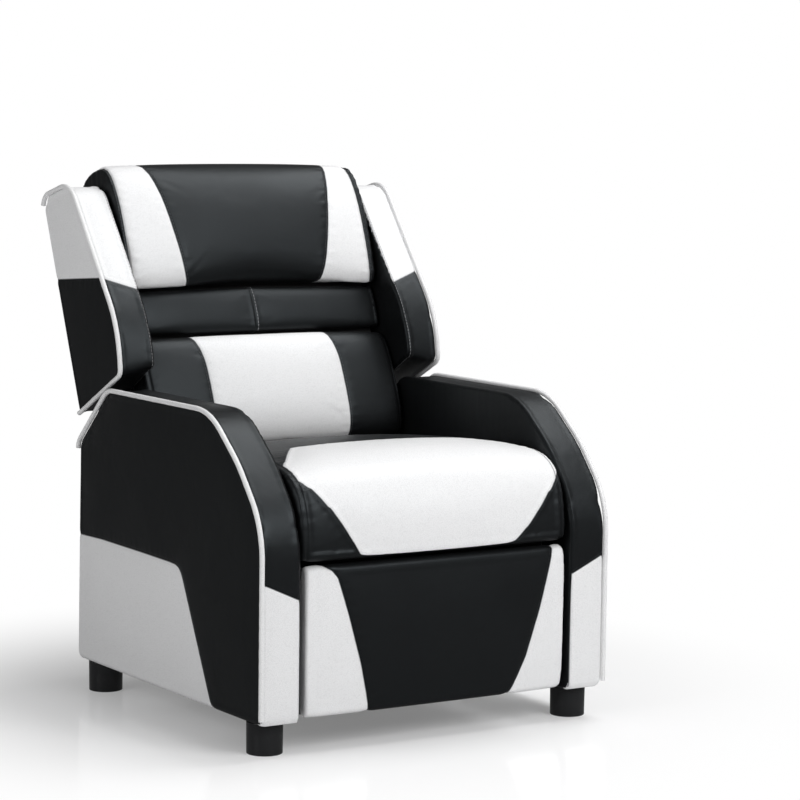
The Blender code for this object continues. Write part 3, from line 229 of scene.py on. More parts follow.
def upright(places: np.ndarray) -> np.ndarray:
    """Places of the chair, as rows of (y, z), in the back's own axes."""
    y, z = places[:, 0] - BACK_PIVOT.y, places[:, 1] - BACK_PIVOT.z
    c, s = math.cos(BACK_LEAN), math.sin(BACK_LEAN)
    return np.c_[y * c - z * s, y * s + z * c]


@dataclass
class Polyline:
    """A chain of straight stretches on a plane, open or closed."""

    corners: Sequence[Sequence[float]]
    closed: bool = False

    def measure(self, places: np.ndarray) -> tuple[np.ndarray, np.ndarray, np.ndarray]:
        """How far places are from the chain, and where along it they are nearest.

        Args:
            places: Rows of points on the plane.

        Returns:
            The distance, the length run along the chain, and the side: 1 on the left of
            the nearest stretch, or inside a closed chain, and -1 on the other.
        """
        ends = [np.array(c, float) for c in self.corners]
        best = np.full(len(places), 9.0)
        run = np.zeros(len(places))
        side = np.ones(len(places))
        inside = np.zeros(len(places), bool)
        total = 0.0
        for a, b in zip(ends, ends[1:] + ends[:1] if self.closed else ends[1:]):
            along = b - a
            length = float(np.linalg.norm(along))
            part = np.clip(((places - a) @ along) / length**2, 0, 1)
            distance = np.linalg.norm(places - (a + part[:, None] * along), axis=1)
            nearer = distance < best
            cross = along[0] * (places[:, 1] - a[1]) - along[1] * (places[:, 0] - a[0])
            best = np.where(nearer, distance, best)
            run = np.where(nearer, total + part * length, run)
            side = np.where(nearer, np.where(cross >= 0, 1.0, -1.0), side)
            crosses = (a[1] > places[:, 1]) != (b[1] > places[:, 1])
            rise = b[1] - a[1] if abs(b[1] - a[1]) > 1e-12 else 1e-12
            inside ^= crosses & (places[:, 0] < a[0] + (places[:, 1] - a[1]) / rise * along[0])
            total += length
        if self.closed:
            side = np.where(inside, 1.0, -1.0)
        return best, run, side


def rounded(corners: Sequence[Corner], steps: int = 10) -> list[Vector]:
    """The points of a closed outline whose corners (a, b, radius) are rounded by arcs of some steps."""
    points: list[Vector] = []
    count = len(corners)
    for i, (a, b, radius) in enumerate(corners):
        here = Vector((a, b))
        before = (Vector(corners[i - 1][:2]) - here).normalized()
        after = (Vector(corners[(i + 1) % count][:2]) - here).normalized()
        if radius <= 0:
            points.append(here)
            continue
        half = before.angle(after) / 2
        centre = here + (before + after).normalized() * radius / math.sin(half)
        start = here + before * radius / math.tan(half) - centre
        end = here + after * radius / math.tan(half) - centre
        turn = start.angle_signed(end)
        points += [centre + Matrix.Rotation(-turn * k / steps, 2) @ start for k in range(steps + 1)]
    return points


def moved_in(corners: Sequence[Corner], distance: float) -> list[Corner]:
    """The corners (a, b, radius) of an outline moved inwards by a distance, with radii that follow."""
    places = [Vector(c[:2]) for c in corners]
    area = sum(a.x * b.y - b.x * a.y for a, b in zip(places, places[1:] + places[:1]))
    way = 1 if area > 0 else -1
    result = []
    for i, here in enumerate(places):
        first = (here - places[i - 1]).normalized()
        second = (places[(i + 1) % len(places)] - here).normalized()
        one = Vector((-first.y, first.x)) * way
        two = Vector((-second.y, second.x)) * way
        middle = (one + two).normalized()
        spot = here + middle * distance / max(middle.dot(one), 0.3)
        result.append((spot.x, spot.y, max(corners[i][2] - distance, 0.002)))
    return result


def evenly(path: Sequence[Vector], step: float) -> list[Vector]:
    """The same path with points set about a step apart along it."""
    runs = [0.0]
    for a, b in zip(path, path[1:]):
        runs.append(runs[-1] + (b - a).length)
    count = max(2, round(runs[-1] / step))
    flat = np.array([list(p) for p in path])
    wanted = np.linspace(0, runs[-1], count + 1)
    return [Vector([float(np.interp(w, runs, flat[:, i])) for i in range(3)]) for w in wanted]


def reading(line: Line, at: np.ndarray) -> np.ndarray:
    """The second coordinate of a line of points, where the first is given."""
    return np.interp(at, *np.array(line).T)


# Finishes


class Board:
    """One node tree and short calls that place and link its nodes."""

    def __init__(self, tree: bpy.types.NodeTree) -> None:
        """Keep the tree to work on."""
        self.tree = tree

    def put(self, node: bpy.types.Node, inputs: dict) -> bpy.types.Node:
        """Give a node's inputs, by name or number, their values or the sockets that feed them."""
        for key, value in inputs.items():
            if isinstance(value, Socket):
                self.tree.links.new(value, node.inputs[key])
            else:
                node.inputs[key].default_value = value
        return node

    def node(self, kind: str, inputs: dict | None = None, **settings: object) -> bpy.types.Node:
        """Add a node, given its type without the ShaderNode prefix, its inputs and its own settings."""
        made = self.tree.nodes.new(kind if kind.startswith("Node") else "ShaderNode" + kind)
        for key, value in settings.items():
            setattr(made, key, value)
        return self.put(made, inputs or {})

    def math(self, operation: str, *values: object) -> Socket:
        """The result of a Math node on up to three values or sockets."""
        return self.node("Math", dict(enumerate(values)), operation=operation).outputs[0]

    def plus(self, one: object, two: object) -> Socket:
        """Two numbers added."""
        return self.math("ADD", one, two)

    def times(self, one: object, two: object) -> Socket:
        """Two numbers multiplied."""
        return self.math("MULTIPLY", one, two)

    def band(self, value: object, low: float, high: float, to_low: float = 0.0,
             to_high: float = 1.0) -> Socket:
        """A smooth step from one value to another as the input goes from low to high."""
        limits = {"From Min": low, "From Max": high, "To Min": to_low, "To Max": to_high}
        made = self.node("MapRange", {"Value": value, **limits}, interpolation_type="SMOOTHSTEP")
        return made.outputs["Result"]

    def blend(self, amount: object, one: object, two: object, way: str = "MIX") -> Socket:
        """A colour between two, or their product, by an amount that changes over the surface."""
        return self.node("Mix", {0: amount, 6: one, 7: two}, data_type="RGBA", blend_type=way).outputs[2]

    def shaded(self, colour: object, shade: object, amount: object = 1.0) -> Socket:
        """A colour multiplied by a shade, by some amount."""
        return self.blend(amount, colour, shade, "MULTIPLY")

    def noise(self, place: Socket, scale: float, detail: float, **more: float) -> Socket:
        """A noise texture's value."""
        extra = {key.title(): value for key, value in more.items()}
        return self.node("TexNoise", {"Vector": place, "Scale": scale, "Detail": detail, **extra}).outputs[0]

    def attribute(self, name: str) -> Socket:
        """A number that is kept for every vertex."""
        return self.node("Attribute", attribute_name=name).outputs["Fac"]

    def mixed(self, amount: object, one: bpy.types.Node, two: bpy.types.Node) -> bpy.types.Node:
        """A shader between two, by an amount."""
        return self.node("MixShader", {0: amount, 1: one.outputs[0], 2: two.outputs[0]})

    def lit(self, kind: str, strength: object) -> bpy.types.Node:
        """A white emission or background shader of some strength."""
        return self.node(kind, {"Color": (1, 1, 1, 1), "Strength": strength})


def new_material(name: str) -> tuple[Material, Board]:
    """A material and the board of its nodes."""
    made = bpy.data.materials.new(name)
    made.use_nodes = True
    return made, Board(made.node_tree)


def group(name: str, takes: dict[str, str], gives: Sequence[str]) -> tuple[Board, dict]:
    """A new node group, as a board on it and its input sockets by name.

    Args:
        name: The group's name.
        takes: Its inputs, by name, with their socket types.
        gives: The names of its outputs, which are numbers.
    """
    tree = bpy.data.node_groups.new(name, "ShaderNodeTree")
    for label, kind in takes.items():
        tree.interface.new_socket(label, in_out="INPUT", socket_type="NodeSocket" + kind)
    for label in gives:
        tree.interface.new_socket(label, in_out="OUTPUT", socket_type="NodeSocketFloat")
    board = Board(tree)
    entry = board.node("NodeGroupInput")
    return board, {label: entry.outputs[label] for label in takes}


class Effects:
    """Surface effects that more than one finish uses, each built once."""

    pore_scale = 500
    stitch_pitch = 0.0052

    def __init__(self) -> None:
        """Build every effect."""
        self.grain = self._grain()
        self.sewing = self._sewing()
        self.dust = self._dust()

    def _grain(self) -> bpy.types.NodeTree:
        """Pores, fine creases and slow unevenness of embossed leather."""
        takes = {"Place": "Vector", "Pores": "Float", "Creases": "Float"}
        board, given = group("leather_grain", takes, ("Height", "Gloss", "Shade"))
        place = given["Place"]
        stretch = board.node("TexNoise", {"Vector": place, "Scale": 60.0, "Detail": 2.0}).outputs["Color"]
        scales = {0: place, 1: (self.pore_scale,) * 3, 2: stretch}
        warped = board.node("VectorMath", scales, operation="MULTIPLY_ADD").outputs[0]
        pores = board.node("TexVoronoi", {"Vector": warped, "Scale": 1.0}, feature="DISTANCE_TO_EDGE")
        small = board.node("TexVoronoi", {"Vector": warped, "Scale": 2.3}, feature="F1")
        fine = board.times(board.band(pores.outputs["Distance"], 0.0, 0.16), 0.000035)
        pits = board.times(small.outputs["Distance"], -0.000012)
        relief = board.times(board.plus(fine, pits), given["Pores"])
        waves = board.noise(place, 16.0, 3.0, distortion=0.6)
        fold = board.times(board.math("SUBTRACT", waves, 0.5), 0.0009)
        board.node("NodeGroupOutput", {
            "Height": board.plus(relief, board.times(fold, given["Creases"])),
            "Gloss": board.band(board.noise(place, 7.0, 4.0), 0.3, 0.7, -0.035, 0.035),
            "Shade": board.band(pores.outputs["Distance"], 0.0, 0.2, 0.90, 1.03),
        })
        return board.tree

    def _sewing(self) -> bpy.types.NodeTree:
        """A sewn line: the groove between two panels, painted shade in that groove and a row of stitches
        beside it.
        """
        takes = {"Distance": "Float", "Run": "Float", "Reach": "Float"}
        board, given = group("sewn_line", takes, ("Height", "Thread", "GrooveShade"))
        away = board.math("ABSOLUTE", given["Distance"])
        roll = board.band(away, 0.0005, 0.0042, -0.0008, 0.0)
        beside = board.math("ABSOLUTE", board.math("SUBTRACT", given["Distance"], given["Reach"]))
        across = board.band(beside, 0.00022, 0.00055, 1.0, 0.0)
        phase = board.math("FRACT", board.times(given["Run"], 1 / self.stitch_pitch))
        dash = board.band(board.math("ABSOLUTE", board.math("SUBTRACT", phase, 0.5)), 0.30, 0.38, 1.0, 0.0)
        thread = board.times(across, dash)
        pull = board.band(beside, 0.0004, 0.0016, -0.00018, 0.0)
        board.node("NodeGroupOutput", {
            "Height": board.plus(board.plus(roll, pull), board.times(thread, 0.0003)),
            "Thread": thread,
            # Painted shade in the seam groove: 1 at the seam, fading to 0 by 1.6 mm away
            "GrooveShade": board.band(away, 0.0002, 0.0016, 1.0, 0.0),
        })
        return board.tree

    def _dust(self) -> bpy.types.NodeTree:
        """Fine uneven dulling."""
        board, given = group("light_dust", {"Place": "Vector"}, ("Gloss", "Shade"))
        cloud = board.noise(given["Place"], 35.0, 6.0)
        board.node("NodeGroupOutput", {
            "Gloss": board.band(cloud, 0.35, 0.7, -0.02, 0.06),
            "Shade": board.band(cloud, 0.3, 0.8, 0.97, 1.04),
        })
        return board.tree


@dataclass(frozen=True)
class Finish:
    """A material whose nodes are drawn in the piece's own coordinates."""

    name: str
    relief: ClassVar[float] = 1.0

    def surface(self, board: Board, place: Socket, effects: Effects) -> tuple[dict, Socket]:
        """The shader's inputs by name, and the height of the fine relief."""
        raise NotImplementedError

    def material(self, effects: Effects) -> Material:
        """Build the finish."""
        made, board = new_material(self.name)
        inputs, height = self.surface(board, board.node("TexCoord").outputs["Object"], effects)
        bump = board.node("Bump", {"Height": height, "Distance": 1.0, "Strength": self.relief})
        board.put(board.tree.nodes["Principled BSDF"], {**inputs, "Normal": bump.outputs[0]})
        return made


@dataclass(frozen=True)
class PlainLeather(Finish):
    """One leather with its grain, for welts and covered boards."""

    tone: Tone = Tone.DARK
    roughness: float = 0.45
    pores: float = 1.0
    creases: float = 1.0
    shine: ClassVar[dict] = {}

    def panels(self, board: Board, height: Socket, effects: Effects) -> tuple[object, Socket]:
        """The colour before shading, and the height with whatever the panels add."""
        return (*self.tone.value, 1), height

    def surface(self, board: Board, place: Socket, effects: Effects) -> tuple[dict, Socket]:
        """Grain over one tone, or over the panels."""
        given = {"Place": place, "Pores": self.pores, "Creases": self.creases}
        grain = board.node("Group", given, node_tree=effects.grain)
        colour, height = self.panels(board, grain.outputs["Height"], effects)
        return {
            "Base Color": board.shaded(colour, grain.outputs["Shade"]),
            "Roughness": board.plus(grain.outputs["Gloss"], self.roughness),
            **self.shine,
        }, height


@dataclass(frozen=True)
class SewnLeather(PlainLeather):
    """Two leathers sewn together: the panel attribute says which is where."""

    inside: Tone = Tone.PALE
    thread: Colour = (0.30, 0.30, 0.31)
    panel_stitches: bool = False
    seam_stitches: bool = False
    reach: float = -0.0030
    shine: ClassVar[dict] = {"Specular IOR Level": 0.31, "Specular Tint": (0.84, 0.94, 1.0, 1)}

    def panels(self, board: Board, height: Socket, effects: Effects) -> tuple[object, Socket]:
        """Two tones with a sharp line between them, sunken along the seams, with painted shade darkening each
        seam groove.
        """
        mask = board.band(board.attribute("panel"), -0.00025, 0.00025)
        colour = board.blend(mask, (*self.tone.value, 1), (*self.inside.value, 1))
        lines = (("panel", self.panel_stitches, self.reach), ("seam", self.seam_stitches, -self.reach))
        for line, stitched, reach in lines:
            given = {"Distance": board.attribute(line), "Run": board.attribute(line + "_run"), "Reach": reach}
            sewn = board.node("Group", given, node_tree=effects.sewing)
            height = board.plus(height, sewn.outputs["Height"])
            # Painted shade: the colour is darkened towards 0.30 in each seam groove
            colour = board.shaded(colour, (0.30, 0.30, 0.31, 1), sewn.outputs["GrooveShade"])
            if stitched:
                colour = board.blend(sewn.outputs["Thread"], colour, (*self.thread, 1))
        return colour, height


@dataclass(frozen=True)
class WovenCloth(Finish):
    """Plain-woven or felted black cloth."""

    colour: Colour = (0.014, 0.014, 0.015)
    threads: float = 1400.0
    roughness: float = 0.85
    relief: ClassVar[float] = 0.8

    def surface(self, board: Board, place: Socket, effects: Effects) -> tuple[dict, Socket]:
        """Warp and weft under a little lint."""
        parts = board.node("SeparateXYZ", {0: place}).outputs
        warp = board.math("SINE", board.times(parts["X"], self.threads * 2))
        slanted = board.plus(parts["Y"], parts["Z"])
        weft = board.math("SINE", board.times(slanted, self.threads * 2))
        weave = board.times(warp, weft)
        lint = board.noise(place, 220.0, 4.0)
        light = board.plus(board.times(weave, 0.12), board.band(lint, 0.3, 0.7, 0.8, 1.25))
        height = board.plus(board.times(weave, 0.00012), board.times(lint, 0.0002))
        return {
            "Base Color": board.shaded((*self.colour, 1), light),
            "Roughness": board.band(lint, 0.2, 0.8, self.roughness - 0.08, 1.0),
            "Sheen Weight": 0.25,
        }, height


@dataclass(frozen=True)
class Moulded(Finish):
    """Smooth moulded plastic with faint flow marks and dust."""

    colour: Colour = (0.0125, 0.0130, 0.0140)
    roughness: float = 0.20

    def surface(self, board: Board, place: Socket, effects: Effects) -> tuple[dict, Socket]:
        """One colour under a little dust."""
        dust = board.node("Group", {"Place": place}, node_tree=effects.dust)
        return {
            "Base Color": board.shaded((*self.colour, 1), dust.outputs["Shade"]),
            "Roughness": board.plus(dust.outputs["Gloss"], self.roughness),
        }, board.times(board.noise(place, 90.0, 2.0), 0.00006)


@dataclass(frozen=True)
class CoatedSteel(Finish):
    """Stamped steel with a dark baked coat, worn brighter in places."""

    coat: Colour = (0.045, 0.046, 0.050)
    worn: Colour = (0.16, 0.16, 0.165)

    def surface(self, board: Board, place: Socket, effects: Effects) -> tuple[dict, Socket]:
        """Coat and wear, with a faint orange peel."""
        wear = board.noise(place, 24.0, 8.0, roughness=0.7)
        return {
            "Base Color": board.blend(board.band(wear, 0.56, 0.68), (*self.coat, 1), (*self.worn, 1)),
            "Roughness": board.band(wear, 0.3, 0.7, 0.42, 0.30),
            "Metallic": 0.75,
        }, board.times(board.noise(place, 420.0, 3.0), 0.00008)


@dataclass(frozen=True)
class Plywood(Finish):
    """Bare board with grain along one way."""

    along: tuple[float, float, float] = (3.0, 40.0, 40.0)
    early: Colour = (0.42, 0.29, 0.165)
    late: Colour = (0.58, 0.43, 0.27)

    def surface(self, board: Board, place: Socket, effects: Effects) -> tuple[dict, Socket]:
        """Rings and fibres drawn out along the grain."""
        drawn = board.node("Mapping", {"Vector": place, "Scale": self.along}).outputs[0]
        rings = board.noise(drawn, 3.0, 8.0, distortion=1.2)
        fibre = board.noise(drawn, 22.0, 5.0)
        colour = board.blend(board.band(rings, 0.35, 0.65), (*self.early, 1), (*self.late, 1))
        return {
            "Base Color": board.shaded(colour, board.band(fibre, 0.3, 0.7, 0.86, 1.04)),
            "Roughness": board.band(fibre, 0.2, 0.8, 0.62, 0.80),
        }, board.times(fibre, 0.0003)


# Padding


@dataclass
class Sewing:
    """Where the sewn lines of a piece run, as numbers for every vertex."""

    panel: np.ndarray
    panel_run: np.ndarray
    seam: np.ndarray
    seam_run: np.ndarray

    @classmethod
    def one_panel(cls, seam: np.ndarray, seam_run: np.ndarray) -> "Sewing":
        """A single seam on a piece that is all one panel."""
        return cls(np.full(len(seam), -1.0), np.zeros(len(seam)), seam, seam_run)


class Skin:
    """The points of a cover and their normals.

    Depth is measured from the front of the arms, aside is how far a point is from the chair's
    middle, and across and up are in the back's own axes.
    """

    def __init__(self, piece: Piece) -> None:
        """Read the points and their normals."""
        self.points, self.normals = points_of(piece), normals_of(piece)
        self.x, self.y, self.z = self.points.T
        self.depth = self.y - ARM_FRONT
        self.aside = np.abs(self.x)
        self.across, self.up = upright(self.points[:, 1:]).T


@dataclass
class Padding:
    """How a piece is stuffed."""

    voxel: float = 0.006
    slack: float = 0.003
    pressure: float = 4.0
    cap: float = 0.010
    stiff: float = 12.0
    groove: float = 0.0016
    groove_reach: float = 0.0055
    pucker: float = 0.00035
    pucker_length: float = 0.016
    pucker_away: float = 0.008
    pucker_width: float = 0.007


@dataclass
class PaddedPiece:
    """A foam piece in its cover: remeshed, blown up between its seams and drawn in along them."""

    name: str
    node: str
    body: str
    padding: Padding

    # How many frames the simulation runs, and the hold below which a point counts as free
    frames: ClassVar[int] = 20
    free: ClassVar[float] = 0.02
    # The part of a normal beyond which a face of a cushion lies on its board
    facing_away: ClassVar[float] = 0.6

    def start(self) -> Piece:
        """The shape that the padding starts from: a merged copy of the solid."""
        piece = linked(self.name, frame["nodes"][self.node].data.copy())
        piece.data.materials.clear()
        take(piece)
        with editing():
            bpy.ops.mesh.remove_doubles(threshold=0.00002)
        place_points(piece, self.fuller(points_of(piece)))
        return piece

    def fuller(self, points: np.ndarray) -> np.ndarray:
        """Where the cushion sags or swells past its solid. Most pieces don't."""
        return points

    def sewing(self, skin: Skin) -> Sewing:
        """Where the sewn lines run."""
        raise NotImplementedError

    def held(self, skin: Skin, sewing: Sewing) -> np.ndarray:
        """How firmly each point is held while the piece is blown up, from 0 to 1."""
        raise NotImplementedError

    def along_seams(self, sewing: Sewing, reach: float = 0.008) -> np.ndarray:
        """Held along the seam, within a reach, and less firmly along the panel's edge."""
        return np.maximum(near(np.abs(sewing.seam), reach), near(np.abs(sewing.panel), 0.007) * 0.75)

    def build(self, finish: Material, fill: float) -> None:
        """Make the piece and dress it in a finish. The fill, how tight its stuffing is, is not used."""
        piece = self.start()
        faces = [face.vertices[:] for face in piece.data.polygons]
        surface = BVHTree.FromPolygons([vert.co.copy() for vert in piece.data.vertices], faces)
        modify(piece, "REMESH", mode="VOXEL", voxel_size=self.padding.voxel, use_smooth_shade=True)
        modify(piece, "SMOOTH", factor=0.5, iterations=3)
        self._blow_up(piece)
        modify(piece, "SUBSURF", levels=1, render_levels=1)
        self._settle(piece, surface)
        self._draw_in(piece)
        smooth_all(piece, 180)
        dress(piece, finish, self.node)
        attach(piece, self.body)
        LOG.info("%s: %d vertices", self.name, len(piece.data.vertices))

    def _blow_up(self, piece: Piece) -> None:
        """Press the cover out from inside with a cloth simulation, held along its seams."""
        pad = self.padding
        skin = Skin(piece)
        hold = self.held(skin, self.sewing(skin))
        place_points(piece, skin.points - skin.normals * pad.slack * (1 - hold[:, None]))
        begun = points_of(piece)
        grip = piece.vertex_groups.new(name="held")
        for level in (0.25, 0.5, 0.75, 1.0):
            chosen = np.nonzero((hold > level - 0.25) & (hold <= level))[0]
            grip.add([int(i) for i in chosen], level, "REPLACE")
        take(piece)
        cloth = piece.modifiers.new("blow_up", "CLOTH")
        cloth.point_cache.frame_start = 1
        cloth.point_cache.frame_end = self.frames
        rules = cloth.settings
        rules.quality = 5
        rules.mass = 0.3
        rules.tension_stiffness = rules.compression_stiffness = pad.stiff
        rules.shear_stiffness = pad.stiff / 2
        rules.bending_stiffness = 0.8
        rules.use_pressure = True
        rules.uniform_pressure_force = pad.pressure
        rules.effector_weights.gravity = 0
        rules.vertex_group_mass = "held"
        cloth.collision_settings.use_collision = False
        for step in range(self.frames):
            bpy.context.scene.frame_set(step + 1)
        bpy.ops.object.modifier_apply(modifier=cloth.name)
        bpy.context.scene.frame_set(1)
        travel = points_of(piece) - begun
        length = np.linalg.norm(travel, axis=1)
        limit = pad.cap * np.tanh(length / pad.cap) / np.maximum(length, 1e-9)
        place_points(piece, begun + travel * limit[:, None])
        piece.vertex_groups.clear()

    def _settle(self, piece: Piece, surface: BVHTree) -> None:
        """Lay the held places, such as sewn rims and flat undersides, back on the first shape."""
        skin = Skin(piece)
        points = points_of(piece)
        hold = self.held(skin, self.sewing(skin))
        for i in np.nonzero(hold > self.free)[0]:
            spot = surface.find_nearest(points[i])[0]
            points[i] += (np.array(spot) - points[i]) * hold[i]
        place_points(piece, points)

    def _draw_in(self, piece: Piece) -> None:
        """Sink the seams into the padding and let the cover pucker beside them."""
        pad = self.padding
        skin = Skin(piece)
        sewing = self.sewing(skin)
        sink = np.zeros(len(skin.points))
        for distance, run in ((sewing.panel, sewing.panel_run), (sewing.seam, sewing.seam_run)):
            away = np.abs(distance)
            sink += pad.groove * np.exp(-((away / pad.groove_reach) ** 2))
            beside = np.exp(-(((away - pad.pucker_away) / pad.pucker_width) ** 2))
            sink += pad.pucker * beside * ripple(run, pad.pucker_length, np.sign(distance) * 0.4)
        place_points(piece, skin.points - skin.normals * sink[:, None])
        for label, values in vars(sewing).items():
            store(piece, label, values)


@dataclass
class SlabPiece(PaddedPiece):
    """A padded piece cut from a side outline, such as an arm or a wing, for one side of the chair."""

    sign: int
    sizes: "Slabs"

    # How far the faces lie inside the outline's width, and how round the inner rim is
    face_gap: ClassVar[float] = 0.0006
    inner_rim: ClassVar[float] = 0.0035
    # How far from a rim the cover is held, and then let go, and how far from the inner face it is held
    rim_hold: ClassVar[float] = 0.006
    inner_hold: ClassVar[float] = 0.002

    def __post_init__(self) -> None:
        """Work out the outline and the x of the outer face."""
        self.outline = Polyline([c[:2] for c in self.sizes.corners()], closed=True)
        self.outer = self.sizes.inner + self.sizes.width

    def start(self) -> Piece:
        """A slab drawn from a circle's points, extruded and rounded along both rims."""
        points = rounded(self.sizes.corners(), 8)
        inner = self.sign * (self.sizes.inner + self.face_gap)
        outer = self.sign * (self.outer - self.face_gap)
        piece = primitive("circle", self.name, vertices=len(points), radius=1, fill_type="NGON")
        for vert, point in zip(piece.data.vertices, points):
            vert.co = (inner, point.x, point.y)
        with editing():
            bpy.ops.mesh.extrude_region_move(TRANSFORM_OT_translate={"value": (outer - inner, 0, 0)})
            turn_outwards()
        self._round_rim(piece, inner, self.inner_rim)
        self._round_rim(piece, outer, self.sizes.edge)
        return piece

    def _round_rim(self, piece: Piece, x: float, radius: float) -> None:
        """Bevel the rim of the face that lies at x."""
        with editing("DESELECT"):
            bpy.ops.mesh.select_mode(type="EDGE")
        for edge in piece.data.edges:
            edge.select = all(abs(piece.data.vertices[i].co.x - x) < 1e-5 for i in edge.vertices)
        with editing(None):
            bpy.ops.mesh.bevel(offset=radius, segments=4, affect="EDGES")

    def held(self, skin: Skin, sewing: Sewing) -> np.ndarray:
        """Held along both rims and on the inner side, and less firmly along the panel's edge."""
        away = self.outline.measure(skin.points[:, 1:])[0]
        inner, outer = (np.hypot(skin.aside - x, away) for x in (self.sizes.inner, self.outer))
        seams = near(np.abs(sewing.panel), self.rim_hold) * 0.8
        hold = np.maximum(near(np.minimum(outer, inner), self.rim_hold, self.rim_hold), seams)
        return np.where(skin.aside < self.sizes.inner + self.inner_hold, 1.0, hold)


# The chair's parts


@dataclass
class Welt:
    """A covered cord along an edge."""

    name: str
    node: str
    body: str
    radius: ClassVar[float] = 0.0035
    sides: ClassVar[int] = 14
    unevenness: ClassVar[float] = 0.035
    wave: ClassVar[float] = 0.021

    def build(self, path: Sequence[Vector], outwards: int, finish: Material) -> None:
        """Sweep a circle along the welt's middle line, on the side of the chair given as -1 or 1."""
        piece = primitive("circle", self.name, vertices=self.sides, radius=self.radius, fill_type="NOTHING")
        with editing():
            bpy.ops.mesh.select_mode(type="EDGE")
            for _ in path[1:]:
                bpy.ops.mesh.extrude_region_move(TRANSFORM_OT_translate={"value": (0, 0, 0.001)})
        turns = [math.tau * k / self.sides for k in range(self.sides)]
        points = []
        run = 0.0
        for row, here in enumerate(path):
            along = (path[min(row + 1, len(path) - 1)] - path[max(row - 1, 0)]).normalized()
            up = along.cross(Vector((outwards, 0, 0))).normalized()
            across = up.cross(along).normalized()
            if row:
                run += (here - path[row - 1]).length
            swell = self.radius * (1 + self.unevenness * float(ripple(np.array([run]), self.wave)[0]))
            points += [here + across * (swell * math.cos(t)) + up * (swell * math.sin(t)) for t in turns]
        place_points(piece, np.array([list(p) for p in points]))
        with editing():
            bpy.ops.mesh.select_mode(type="EDGE")
            bpy.ops.mesh.region_to_loop()
            bpy.ops.mesh.edge_face_add()
            turn_outwards()
        smooth_all(piece)
        dress(piece, finish, self.node)
        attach(piece, self.body)


@dataclass
class Slabs:
    """A padded slab on either side of the chair, with a welt round the outer edge of each."""

    inner: float
    width: float
    edge: float = 0.009
    label: ClassVar[str]
    body: ClassVar[str]
    fill: ClassVar[float]
    welt_step: ClassVar[float]

    def corners(self) -> list[Corner]:
        """The side outline's corners in (y, z) with their radii."""
        raise NotImplementedError

    def pad(self, side: str) -> SlabPiece:
        """The pad of one side."""
        raise NotImplementedError

    def welt_path(self, corners: list[Corner]) -> list[Vector]:
        """The welt's middle line in (y, z), from the corners of the outline that it follows."""
        raise NotImplementedError

    def build(self, leather: Material, welt: Material) -> None:
        """Make both pads and their welts."""
        inwards = self.edge - (self.edge + PIPING_RADIUS + PIPING_GAP) / math.sqrt(2)
        path = self.welt_path(moved_in(self.corners(), inwards))
        for side, sign in SIDES.items():
            self.pad(side).build(leather, self.fill)
            x = sign * (self.inner + self.width - inwards)
            line = evenly([Vector((x, p.x, p.y)) for p in path], self.welt_step)
            made = Welt(f"{side}_{self.label}_welt", f"{side}_{self.label}_piping", self.body)
            made.build(line, sign, welt)
        LOG.info("%ss are covered", self.label)


@dataclass
class ArmPad(SlabPiece):
    """One arm's cover: side panel, top and front band, inner panel."""

    def sewing(self, skin: Skin) -> Sewing:
        """The side patch, the band's two colours and the seam along the inner edge."""
        sizes, x, z = self.sizes, skin.aside, skin.z
        away, run, side = Polyline(sizes.patch, closed=True).measure(np.c_[skin.depth, z])
        inwards = share(self.outer - sizes.band_starts - x, sizes.width - sizes.band_narrower)
        slanted = sizes.band_outer + (sizes.band_inner - sizes.band_outer) * inwards
        band = np.where(skin.depth > sizes.depth / 2, sizes.band_rear, slanted) - z
        facing = self.sign * skin.normals[:, 0]
        underneath = (skin.normals[:, 2] < DOWNWARDS) & (skin.depth > sizes.toe)
        on_side = (facing > SIDEWAYS) | underneath
        seam = x - (sizes.inner + sizes.seam_in)
        panel = np.where(on_side, away * side, band)
        panel = np.where((facing < -SIDEWAYS) | (seam < 0), OFF_PANEL, panel)
        seam = np.where(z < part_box(self.node)[0].z + sizes.seam_ends, OFF_SEAM, seam)
        return Sewing(panel, np.where(on_side, run, x), seam, self.outline.measure(skin.points[:, 1:])[1])

    def held(self, skin: Skin, sewing: Sewing) -> np.ndarray:
        """Held like every slab, and underneath."""
        under = skin.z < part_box(self.node)[0].z + 0.003
        return np.where(under, 1.0, super().held(skin, sewing))


